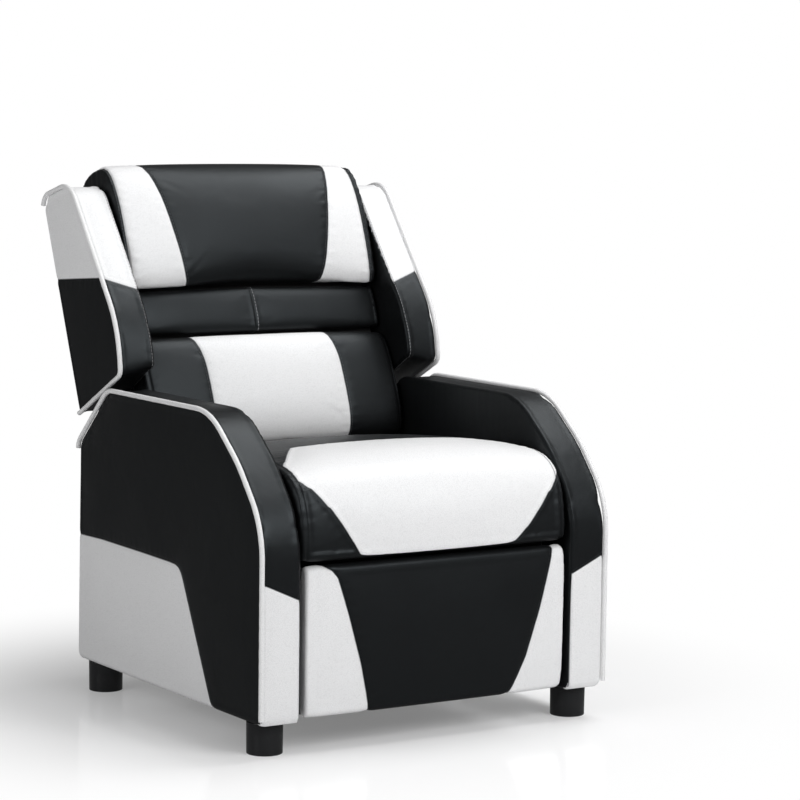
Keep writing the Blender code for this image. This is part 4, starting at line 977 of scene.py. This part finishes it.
@dataclass
class Arms(Slabs):
    """Both arms with their welts.

    The front is white up to band_outer at its outer edge and band_inner at its inner edge, and the
    rear up to band_rear. The front's line slants from band_starts inside the outer face, over the
    width less band_narrower. From the depth called toe the underside counts as side. The patch is
    the white panel on the side, in (depth, height). The seam runs seam_in from the inner face, down
    to seam_ends above the bottom.
    """

    inner: float = 0.2196
    width: float = 0.0617
    depth: float = 0.5535
    bottom: float = 0.0442
    top: float = 0.4535
    band_outer: float = 0.2344
    band_inner: float = 0.2125
    band_rear: float = 0.2305
    band_starts: float = 0.0075
    band_narrower: float = 0.013
    toe: float = 0.012
    seam_in: float = 0.0020
    seam_ends: float = 0.004
    patch: Line = (
        (0.60, 0.2300), (0.472, 0.2330), (0.340, 0.2316), (0.262, 0.2302), (0.246, 0.2292),
        (0.236, 0.2262), (0.228, 0.2190), (0.222, 0.2085), (0.1384, 0.0455), (0.1150, 0.0),
        (0.60, 0.0),
    )
    label: ClassVar[str] = "arm"
    body: ClassVar[str] = "base"
    fill: ClassVar[float] = 0.7
    welt_step: ClassVar[float] = 0.006

    def corners(self) -> list[Corner]:
        """The side outline's corners in (y, z) with their radii."""
        listed = (
            (self.depth, self.bottom, 0.010), (self.depth - 0.0065, 0.3685, 0.022),
            (self.depth - 0.1005, self.top, 0.040), (0.1455, self.top, 0.110),
            (0.0664, 0.3906, 0.220), (0.0, 0.3135, 0.125), (0.0, self.bottom, 0.010),
        )
        return [(a + ARM_FRONT, b, r) for a, b, r in listed]

    def pad(self, side: str) -> SlabPiece:
        """The pad of one arm."""
        padding = Padding(
            slack=0.0015, pressure=3.0, cap=0.0035, groove=0.0010, groove_reach=0.0040, pucker=0.00015)
        return ArmPad(f"{side}_arm_pad", f"{side}_arm_cover", self.body, padding, SIDES[side], self)

    def welt_path(self, corners: list[Corner]) -> list[Vector]:
        """From the rear edge's upper turn over the top and down the front."""
        for end in (0, -1):
            corners[end] = (corners[end][0], self.bottom + self.edge, 0)
        return rounded(corners, 12)[1:]


@dataclass
class WingPad(SlabPiece):
    """One wing's cover: side panel, edge band with two colours, inner panel."""

    def start(self) -> Piece:
        """The slab, with the inner side's lower front corner drawn forward and up."""
        piece = super().start()
        points = points_of(piece)
        place = upright(points[:, 1:])
        sizes = self.sizes
        corner = np.hypot(*(place - sizes.corner).T)
        inside = near(np.abs(points[:, 0]), 0.7 * sizes.width, sizes.inner)
        pull = inside * np.exp(-((corner / sizes.pull_reach) ** 2))
        place_points(piece, np.c_[points[:, 0], lean(place + np.outer(pull, sizes.pull))])
        return piece

    def sewing(self, skin: Skin) -> Sewing:
        """The line between white and black, and the seam along the inner edge."""
        sizes = self.sizes
        level = sizes.line_rear + (sizes.rear - np.clip(skin.depth, 0.47, 0.70)) * sizes.line_rise
        level = level - sizes.line_fall * np.clip(self.outer - skin.aside, 0, 0.05)
        seam = skin.aside - (sizes.inner + sizes.seam_in)
        inner = (self.sign * skin.normals[:, 0] < -SIDEWAYS) | (seam < 0)
        panel = np.where(inner, OFF_PANEL, skin.z - level)
        return Sewing(panel, skin.depth + skin.aside, seam, self.outline.measure(skin.points[:, 1:])[1])


@dataclass
class Wings(Slabs):
    """Both wings with their welts.

    The colour line lies at line_rear's height at the depth called rear, rises towards the front and
    falls towards the inner side. The lower front corner's inner side is pulled forward and up.
    """

    inner: float = 0.2163
    width: float = 0.0567
    line_rear: float = 0.6020
    rear: float = 0.633
    line_rise: float = 0.075
    line_fall: float = 0.34
    seam_in: float = 0.0022
    corner: tuple[float, float] = (-0.1010, 0.1395)
    pull: tuple[float, float] = (-0.0065, 0.0090)
    pull_reach: float = 0.045
    label: ClassVar[str] = "wing"
    body: ClassVar[str] = "back"
    fill: ClassVar[float] = 0.75
    welt_step: ClassVar[float] = 0.005

    def corners(self) -> list[Corner]:
        """The side outline's corners in (y, z) with their radii."""
        listed = (
            (0.0540, 0.1250, 0.006), (0.0540, 0.4665, 0.024), (-0.0470, 0.4530, 0.046),
            (-0.1175, 0.2080, 0.170), (*self.corner, 0.013),
        )
        places = lean(np.array([c[:2] for c in listed]))
        return [(float(y), float(z), c[2]) for (y, z), c in zip(places, listed)]

    def pad(self, side: str) -> SlabPiece:
        """The pad of one wing."""
        padding = Padding(
            voxel=0.005, slack=0.0015, pressure=3.5, cap=0.0040, groove=0.0010, groove_reach=0.0040,
            pucker=0.00020)
        return WingPad(f"{side}_wing_pad", f"{side}_wing", self.body, padding, SIDES[side], self)

    def welt_path(self, corners: list[Corner]) -> list[Vector]:
        """Over the top, down the front and along the lower edge, open at the rear."""
        points = rounded(corners, 12)
        return points[17:] + points[:4]


class SeatPad(PaddedPiece):
    """The seat cushion: a white front panel let into black."""

    end_seam: ClassVar[float] = 0.2085
    underside: ClassVar[float] = 0.271
    panel: ClassVar[Line] = (
        (-0.1100, 0.0300), (-0.1244, 0.0563), (-0.1547, 0.1037), (-0.1841, 0.1465), (-0.2054, 0.1805),
        (-0.2048, 0.2325), (-0.1376, 0.3318), (0.1420, 0.3318), (0.2250, 0.2400), (0.2350, 0.1900),
        (0.2084, 0.1510), (0.1751, 0.1112), (0.1480, 0.0812), (0.1230, 0.0581), (0.1080, 0.0300),
    )
    wrap: ClassVar[Line] = (
        (0.060, 0.262), (0.011, 0.262), (0.0, 0.265), (-0.002, 0.284), (0.003, 0.335), (0.017, 0.364),
        (0.045, 0.388), (0.090, 0.3985), (0.151, 0.400), (0.233, 0.3945), (0.314, 0.386), (0.373, 0.379),
        (0.402, 0.361), (0.408, 0.331), (0.404, 0.273), (0.390, 0.262),
    )

    def fuller(self, points: np.ndarray) -> np.ndarray:
        """The lower front lip hangs nearly on the footrest."""
        lip = share(0.300 - points[:, 2], 0.033) * share(ARM_FRONT + 0.050 - points[:, 1], 0.030)
        return points - np.c_[np.zeros((len(points), 2)), 0.0038 * lip]

    def sewing(self, skin: Skin) -> Sewing:
        """The white panel's edge and the seams down both ends.

        The panel is drawn on the cover unrolled along the wrap, from under the front edge over the top.
        """
        run = Polyline(self.wrap).measure(np.c_[skin.depth, skin.z])[1]
        away, panel_run, side = Polyline(self.panel, closed=True).measure(np.c_[skin.x, run])
        panel = np.where(skin.normals[:, 2] < -self.facing_away, OFF_PANEL, away * side)
        return Sewing(panel, panel_run, skin.aside - self.end_seam, run)

    def held(self, skin: Skin, sewing: Sewing) -> np.ndarray:
        """Held along its seams, at its ends and underneath."""
        flat = (skin.z < self.underside) | (skin.aside > self.end_seam + 0.0005)
        return np.where(flat, 1.0, self.along_seams(sewing, 0.010))


class BackPad(PaddedPiece):
    """A cushion of the back, whose sewn lines are given in the back's own axes."""

    board: ClassVar[float] = -0.022
    board_hold: ClassVar[float] = 0.003
    end: ClassVar[float] = 0.2095

    def held(self, skin: Skin, sewing: Sewing) -> np.ndarray:
        """Held at its ends, along its seams and where it lies on the board."""
        flat = (np.abs(skin.across - self.board) < self.board_hold) | (skin.aside > self.end)
        return np.where(flat, 1.0, self.along_seams(sewing))


class HeadrestPad(BackPad):
    """The headrest: black middle, white bands, black ends."""

    left_end: ClassVar[float] = 0.2100
    right_end: ClassVar[float] = 0.2045
    ends_from: ClassVar[float] = 0.183
    left: ClassVar[Line] = (
        (0.000, 0.1110), (0.013, 0.1118), (0.054, 0.1212), (0.085, 0.1263), (0.124, 0.1328), (0.169, 0.1398),
        (0.211, 0.1481), (0.250, 0.1560), (0.300, 0.1610), (0.600, 0.1630),
    )
    right: ClassVar[Line] = (
        (0.000, 0.1110), (0.025, 0.1142), (0.046, 0.1196), (0.073, 0.1262), (0.121, 0.1372), (0.163, 0.1462),
        (0.218, 0.1589), (0.250, 0.1640), (0.300, 0.1670), (0.600, 0.1680),
    )
    wrap: ClassVar[Line] = (
        (-0.0220, 0.2868), (-0.0414, 0.2868), (-0.0595, 0.2929), (-0.0740, 0.3113), (-0.0813, 0.3481),
        (-0.0825, 0.3848), (-0.0795, 0.4257), (-0.0692, 0.4624), (-0.0492, 0.4849), (0.0008, 0.4910),
        (0.0297, 0.4859), (0.0464, 0.4726), (0.0532, 0.4481), (0.0494, 0.4260),
    )

    def fuller(self, points: np.ndarray) -> np.ndarray:
        """The lower corners sag in front of the middle cushion, and the top stands a little higher."""
        place = upright(points[:, 1:])
        ends = share(np.abs(points[:, 0]) - 0.030, 0.170) ** np.where(points[:, 0] < 0, 0.6, 1.5)
        lip = share(0.365 - place[:, 1], 0.050) * share(-0.0450 - place[:, 0], 0.010)
        place[:, 1] += 0.0022 * share(place[:, 1] - 0.400, 0.080) - 0.0190 * ends * lip
        place[:, 0] -= 0.0020 * ends * lip
        return np.c_[points[:, 0], lean(place)]

    def sewing(self, skin: Skin) -> Sewing:
        """White between the curved line and the end seam."""
        run = Polyline(self.wrap).measure(np.c_[skin.across, skin.up])[1]
        on_left = skin.x < 0
        inner = skin.aside - np.where(on_left, reading(self.left, run), reading(self.right, run))
        seam = skin.aside - np.where(on_left, self.left_end, self.right_end)
        return Sewing(np.where(skin.aside < self.ends_from, inner, -seam), run, seam, run)


class LumbarPad(BackPad):
    """The lower back cushion: white middle, black sides."""

    half_panel: ClassVar[float] = 0.1152
    bend_from: ClassVar[float] = 0.150
    end_seam: ClassVar[float] = 0.2090

    def sewing(self, skin: Skin) -> Sewing:
        """White inside two lines that run up and over the cushion."""
        bend = np.clip(skin.up - self.bend_from, 0, 0.07) ** 2 * 3.0
        panel = self.half_panel - np.abs(skin.x + bend)
        panel = np.where(skin.across > self.board - 0.0015, OFF_PANEL, panel)
        return Sewing(panel, skin.up - skin.across, skin.aside - self.end_seam, skin.up)


class MiddlePad(BackPad):
    """The narrow cushion between headrest and lumbar, sewn down its middle."""

    def sewing(self, skin: Skin) -> Sewing:
        """All black, with one seam up the middle."""
        return Sewing.one_panel(skin.x + 0.0050, skin.up)


class FootrestPad(PaddedPiece):
    """The footrest: black middle, white side bands."""

    # About the cosine of the colour lines' slant, which turns a distance in x into the nearest one
    slant: ClassVar[float] = 0.97
    left: ClassVar[Line] = (
        (0.0, -0.1000), (0.052, -0.1106), (0.117, -0.1247), (0.183, -0.1439), (0.236, -0.1612),
        (0.246, -0.1690), (0.260, -0.1880),
    )
    right: ClassVar[Line] = (
        (0.0, 0.0980), (0.052, 0.1224), (0.100, 0.1470), (0.165, 0.1698), (0.225, 0.1865), (0.250, 0.1930),
        (0.270, 0.1970),
    )

    def fuller(self, points: np.ndarray) -> np.ndarray:
        """The right end stands a little wider and the top edge a little higher."""
        x, z = points[:, 0], points[:, 2]
        wider = (0.0022 + 0.0016 * share(z - 0.05, 0.2)) * share(x - 0.150, 0.050)
        return points + np.c_[wider, np.zeros(len(points)), 0.0011 * share(z - 0.225, 0.020)]

    def sewing(self, skin: Skin) -> Sewing:
        """White outside two slanting lines."""
        x, z = skin.x, skin.z
        panel = np.maximum(reading(self.left, z) - x, x - reading(self.right, z)) * self.slant
        panel = np.where(skin.normals[:, 1] > self.facing_away, OFF_PANEL, panel)
        return Sewing(panel, z, np.full(len(z), 0.05), z)

    def held(self, skin: Skin, sewing: Sewing) -> np.ndarray:
        """Held along its colour lines and its edges, and on the board."""
        low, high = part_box(self.node)
        edge = np.minimum(high.x - skin.aside, np.minimum(skin.z - low.z, high.z - skin.z))
        hold = np.maximum(self.along_seams(sewing), near(edge, 0.010, 0.005))
        return np.where(skin.y > high.y - 0.008, 1.0, hold)


class CoverPad(PaddedPiece):
    """The padded panel over the back of the backrest, with a seam round it."""

    sewn_line: ClassVar[Line] = ((-0.2035, 0.026), (0.2035, 0.026), (0.2035, 0.406), (-0.2035, 0.406))

    def sewing(self, skin: Skin) -> Sewing:
        """A seam a little inside the edges."""
        away, run, side = Polyline(self.sewn_line, closed=True).measure(np.c_[skin.x, skin.up])
        return Sewing.one_panel(away * side, run)

    def held(self, skin: Skin, sewing: Sewing) -> np.ndarray:
        """Held along its seam, outside it and near the frame."""
        flat = (sewing.seam < 0.004) | (skin.across < 0.045)
        return np.where(flat, 1.0, np.minimum(near(sewing.seam, 0.02), 0.6))


@dataclass
class Sheet:
    """A hanging sheet drawn along a path of (depth, height).

    Its two bodies, and the places called start and end where it would pass from the first to the second, are
    not used.
    """

    name: str
    half_width: float
    path: Line
    bodies: tuple[str, str]
    start: tuple[float, float]
    end: tuple[float, float]
    rests_on: Sequence[str]
    node: str | None = None
    thickness: float = 0.0015
    fold: float = 0.0
    fold_length: ClassVar[float] = 0.11
    columns: ClassVar[int] = 60
    step: ClassVar[float] = 0.004

    def build(self, finish: Material, slot: str, held: str) -> None:
        line = evenly([Vector((0, y, z)) for y, z in self.path], self.step)
        last = len(line) - 1
        piece = primitive("grid", self.name, x_subdivisions=self.columns, y_subdivisions=last, size=1)
        points = points_of(piece)
        x = points[:, 0] * 2 * self.half_width
        row = np.rint((points[:, 1] + 0.5) * last).astype(int)
        spots = np.array([[p.y, p.z] for p in line])
        tangent = np.gradient(spots, axis=0)
        tangent /= np.maximum(np.linalg.norm(tangent, axis=1), 1e-9)[:, None]
        free = np.sin(np.pi * row / last)
        wave = self.fold * free * ripple(x + row * self.step * 0.25, self.fold_length)
        y = spots[row, 0] + ARM_FRONT - tangent[row, 1] * wave
        place_points(piece, np.c_[x, y, spots[row, 1] + tangent[row, 0] * wave])
        modify(piece, "SOLIDIFY", thickness=self.thickness, offset=0)
        smooth_all(piece)
        dress(piece, finish, self.node)
        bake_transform(piece)


@dataclass
class Hangings:
    """The flap, the curtain and the skirt that close the gaps between the moving parts."""

    front_half_width: float = 0.186
    skirt_half_width: float = 0.200
    flap_rear: float = 0.0569
    flap_front: float = 0.0463
    flap_top: float = 0.2455
    flap_low: float = 0.150
    flap_slant: float = 0.005

    def build(self, leather: Material, cloth: Material) -> None:
        """Make all three."""
        for sheet in self._flap():
            sheet.build(leather, "black_leather", "folded")
        for sheet in (*self._curtain(), self._skirt()):
            sheet.build(cloth, "black_cloth", "hung")

    def _flap(self) -> tuple[Sheet, ...]:
        """The vinyl flap, folded behind the footrest while it is closed."""
        rear, front, top, low = self.flap_rear, self.flap_front, self.flap_top, self.flap_low
        half_width = self.front_half_width
        back = rear + self.flap_slant
        half = (back - front) / 2
        turn = [
            (front + half + half * math.cos(a) * 0.93, low - 0.015 - half * math.sin(a))
            for a in np.linspace(0.15, math.pi - 0.15, 9)
        ]
        turn = [(back, low), (back - 0.0005, low - 0.012), *turn, (front + 0.0005, low - 0.012), (front, low)]
        return (
            Sheet("flap_at_seat", half_width, ((rear, top), (back, low)), ("seat", "rear_links"),
                  (rear, top - 0.0075), (rear, low + 0.001), ["seat_frame"], "leg_flap"),
            Sheet("flap_fold", half_width, turn, ("rear_links", "front_links"),
                  (back - 0.0002, low), (front + 0.0002, low), ["flap_at_seat"]),
            Sheet("flap_at_footrest", half_width, ((front, low), (front, top)), ("front_links", "footrest"),
                  (front, low + 0.001), (front, 0.225), ["footrest_board"]),
        )

    def _curtain(self) -> tuple[Sheet, ...]:
        """The cloth that hides the links from below."""
        half_width = self.front_half_width
        upper = ((0.083, 0.2314), (0.083, 0.150), (0.085, 0.100))
        loop = ((0.085, 0.100), (0.086, 0.070), (0.083, 0.061), (0.077, 0.060), (0.0725, 0.068),
                (0.0705, 0.080), (0.066, 0.0835), (0.060, 0.0840))
        lower = ((0.060, 0.0840), (0.052, 0.0850), (0.0475, 0.090), (0.0463, 0.100), (0.0463, 0.122))
        return (
            Sheet("curtain_at_seat", half_width, upper, ("seat", "rear_links"),
                  (0.083, 0.225), (0.083, 0.105), ["seat_frame"], "front_curtain", fold=0.003),
            Sheet("curtain_loop", half_width, loop, ("rear_links", "front_links"),
                  (0.085, 0.08), (0.062, 0.08), ["curtain_at_seat"]),
            Sheet("curtain_at_footrest", half_width, lower, ("front_links", "footrest"),
                  (0.059, 0.09), (0.0475, 0.09), ["footrest_board"]),
        )

    def _skirt(self) -> Sheet:
        """The slack cloth behind, from the back's lower edge to the rear rail."""
        path = rounded((
            (0.5550, 0.1190, 0), (0.5550, 0.0880, 0.009), (0.6165, 0.0880, 0.030), (0.6290, 0.1500, 0.060),
            (0.6165, 0.2790, 0.060), (0.5560, 0.3230, 0.030), (0.5566, 0.3646, 0),
        ))
        return Sheet("rear_skirt_cloth", self.skirt_half_width, [tuple(p) for p in path], ("base", "back"),
                     (0.600, 0.120), (0.560, 0.335), ["back_cover_pad", "rear_rail"], "rear_skirt",
                     thickness=0.002, fold=0.006)


@dataclass
class Feet:
    """The four turned plastic feet."""

    radius: float = 0.025
    height: float = 0.0439
    wall: float = 0.0045
    draft: float = 0.0010
    hollow: float = 0.0015
    rounding: float = 0.0016
    toe_in: float = 0.0004

    def build(self, finish: Material) -> None:
        """Model one foot and copy it to the four places."""
        model = self._turn()
        for node in [f"{end}_{side}_leg" for end in ("front", "rear") for side in SIDES]:
            low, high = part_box(node)
            piece = linked(f"{node}_foot", model.data.copy())
            place_points(piece, points_of(piece) + ((low.x + high.x) / 2, (low.y + high.y) / 2, 0))
            dress(piece, finish, node)
            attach(piece, "base")
        bpy.data.objects.remove(model)

    def _turn(self) -> Piece:
        """One foot, standing at the origin: a cylinder with a hollow underside and rounded edges."""
        piece = primitive("cylinder", "foot", vertices=72, radius=self.radius, depth=self.height)
        place_points(piece, points_of(piece) + (0, 0, self.height / 2))
        with editing("DESELECT"):
            bpy.ops.mesh.select_mode(type="FACE")
        for face in piece.data.polygons:
            face.select = face.normal.z < -0.9
        with editing(None):
            bpy.ops.mesh.inset(thickness=self.wall, depth=0)
            bpy.ops.mesh.inset(thickness=self.draft, depth=-self.hollow)
        points = points_of(piece)
        reach = np.hypot(points[:, 0], points[:, 1])
        rim = (points[:, 2] < 0.001) & (reach > self.radius - 0.001)
        points[rim, :2] *= (self.radius - self.toe_in) / self.radius
        place_points(piece, points)
        sharp = {"limit_method": "ANGLE", "angle_limit": math.radians(35)}
        modify(piece, "BEVEL", width=self.rounding, segments=3, **sharp)
        smooth_all(piece, 35)
        return piece


@dataclass
class Hardware:
    """The solids that stay as they are, with better finishes."""

    boards: Sequence[str] = ("left_seat_cleat", "right_seat_cleat")
    covered: Sequence[str] = ("rear_rail",)
    wrapped: Sequence[str] = (
        "front_rail", "seat_frame", "footrest_board", "back_front_board", "dust_cover",
        "left_arm_frame", "right_arm_frame", "back_frame",
    )
    sided_steel: Sequence[str] = (
        "base_plate", "seat_plate", "rear_link", "idler_link", "front_link", "control_link",
        "footrest_bracket", "back_bracket",
    )
    bars: Sequence[str] = ("cross_tube", "link_tie_bar", "seat_spring_1", "seat_spring_2", "seat_spring_3")

    def dress(self, wood: Material, steel: Material, cloth: Material, leather: Material) -> None:
        """Put each finish on its solids."""
        sided = [f"{side}_{name}" for name in self.sided_steel for side in SIDES]
        looks = {wood: self.boards, steel: (*sided, *self.bars), cloth: self.wrapped, leather: self.covered}
        for finish, names in looks.items():
            for name in names:
                materials = frame["nodes"][name].data.materials
                materials.clear()
                materials.append(finish)


# Studio


@dataclass
class Studio:
    """Camera at the photograph's angle, pale floor, soft light."""

    lens: float = 127.82
    yaw: float = 32.592
    pitch: float = 6.04
    roll: float = 0.74
    eye: tuple[float, float, float] = (-2.12067, -3.20875, 0.87547)

    def build(self) -> None:
        """Set up everything that isn't the chair."""
        self._camera()
        self._floor()
        self._world()
        self._lamp("key", (0.6, -3.0, 2.2), (0, 0, 0.35), 1.7, 66)
        self._lamp("overhead", (1.1, -0.1, 2.7), (0, 0, 0.3), 1.5, 44)
        self._lamp("left", (-3.0, -0.6, 1.3), (0, 0, 0.35), 1.5, 22)
        bpy.context.scene.view_settings.view_transform = "Standard"
        LOG.info("studio is set")

    def _camera(self) -> None:
        """The camera of the photograph."""
        yaw, pitch, roll = (math.radians(a) for a in (self.yaw, self.pitch, self.roll))
        ahead = Vector((math.sin(yaw) * math.cos(pitch), math.cos(yaw) * math.cos(pitch), -math.sin(pitch)))
        level = Vector((math.cos(yaw), -math.sin(yaw), 0))
        over = level.cross(ahead)
        right = level * math.cos(roll) + over * math.sin(roll)
        up = over * math.cos(roll) - level * math.sin(roll)
        data = bpy.data.cameras.new("camera")
        data.lens = self.lens
        data.sensor_width = 36
        data.clip_start, data.clip_end = 0.05, 60
        camera = linked("camera", data)
        eye = Vector(self.eye) + Vector((0, ARM_FRONT, 0))
        rows = [(right[i], up[i], -ahead[i], eye[i]) for i in range(3)]
        camera.matrix_world = Matrix((*rows, (0, 0, 0, 1)))
        bpy.context.scene.camera = camera

    def _floor(self) -> None:
        """A glossy white floor, plain white away from the chair and clear from below."""
        floor = primitive("circle", "studio_floor", vertices=96, radius=24, fill_type="NGON")
        made, board = new_material("studio_floor")
        nodes = board.tree.nodes
        look = {"Base Color": (0.93, 0.93, 0.935, 1), "Roughness": 0.12, "Specular IOR Level": 0.6}
        gloss = board.put(nodes["Principled BSDF"], look)
        path = board.node("LightPath").outputs
        seen = path["Is Camera Ray"]
        lift = board.lit("Emission", board.times(seen, 0.20))
        lifted = board.node("AddShader", {0: gloss.outputs[0], 1: lift.outputs[0]})
        place = board.node("TexCoord").outputs["Object"]
        away = board.node("VectorMath", {0: place}, operation="LENGTH").outputs["Value"]
        far = board.times(board.band(away, 0.30, 0.85), seen)
        near_and_far = board.mixed(far, lifted, board.lit("Emission", 1.0))
        beneath = board.node("NewGeometry").outputs["Backfacing"]
        clear = board.math("MAXIMUM", board.times(path["Is Glossy Ray"], 0.85), beneath)
        shown = board.mixed(clear, near_and_far, board.node("BsdfTransparent"))
        board.put(nodes["Material Output"], {"Surface": shown.outputs[0]})
        floor.data.materials.append(made)

    def _world(self) -> None:
        """Soft even light, and plain white where the camera looks past the floor."""
        world = bpy.data.worlds.new("studio")
        bpy.context.scene.world = world
        world.use_nodes = True
        world.node_tree.nodes.clear()
        board = Board(world.node_tree)
        path = board.node("LightPath").outputs
        seen = board.math("MAXIMUM", path["Is Camera Ray"], path["Is Transmission Ray"])
        soft, dim, white = (board.lit("Background", strength) for strength in (0.26, 0.12, 1.0))
        light = board.mixed(path["Is Glossy Ray"], soft, dim)
        board.node("OutputWorld", {"Surface": board.mixed(seen, light, white).outputs[0]})

    def _lamp(self, name: str, place: Sequence[float], target: Sequence[float], size: float,
              power: float) -> None:
        """One square area lamp, turned to its target."""
        data = bpy.data.lights.new(name, "AREA")
        data.shape = "SQUARE"
        data.size = size
        data.energy = power
        lamp = linked(name, data)
        lamp.location = place
        lamp.rotation_euler = (Vector(target) - Vector(place)).to_track_quat("-Z", "Y").to_euler()


def main() -> None:
    """Build the studio, then the chair, part by part."""
    logging.basicConfig(level=logging.INFO, format="%(name)s: %(message)s")
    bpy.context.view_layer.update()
    Studio().build()
    effects = Effects()
    sewn = SewnLeather("sewn_leather").material(effects)
    grey, dull = (0.34, 0.34, 0.35), (0.075, 0.075, 0.080)
    stitched = SewnLeather("stitched_leather", seam_stitches=True, thread=grey).material(effects)
    quilted = SewnLeather("quilted_leather", panel_stitches=True, thread=dull).material(effects)
    dark = PlainLeather("black_leather_plain").material(effects)
    pale = PlainLeather("white_leather_plain", Tone.PALE, 0.38, 0.6, 0.2).material(effects)
    cloth = WovenCloth("black_lining_cloth").material(effects)
    Arms().build(sewn, pale)
    Wings().build(stitched, pale)
    firm = Padding(cap=0.008, groove=0.0009, groove_reach=0.0045)
    soft = Padding(voxel=0.0055, slack=0.0013, cap=0.005)
    narrow = Padding(voxel=0.005, slack=0.0015, cap=0.004, groove=0.0008)
    flat = Padding(slack=0.001, cap=0.003)
    fine = Padding(voxel=0.005, slack=0.0013, cap=0.005)
    SeatPad("seat_pad", "seat_cushion", "seat", firm).build(sewn, 0.85)
    HeadrestPad("headrest_pad", "headrest_cushion", "back", soft).build(quilted, 0.85)
    LumbarPad("lumbar_pad", "lumbar_cushion", "back", soft).build(quilted, 0.85)
    MiddlePad("middle_pad", "middle_cushion", "back", narrow).build(stitched, 0.8)
    CoverPad("back_cover_pad", "back_cover", "back", flat).build(sewn, 0.6)
    FootrestPad("footrest_pad_cover", "footrest_pad", "footrest", fine).build(sewn, 0.7)
    LOG.info("cushions are made")
    Hangings().build(dark, cloth)
    LOG.info("flap, curtain and skirt are hung")
    Feet().build(Moulded("black_moulded_plastic").material(effects))
    wood = Plywood("bare_plywood").material(effects)
    steel = CoatedSteel("dark_coated_steel").material(effects)
    Hardware().dress(wood, steel, cloth, dark)
    LOG.info("hard parts are finished")


if __name__ == "__main__":
    main()
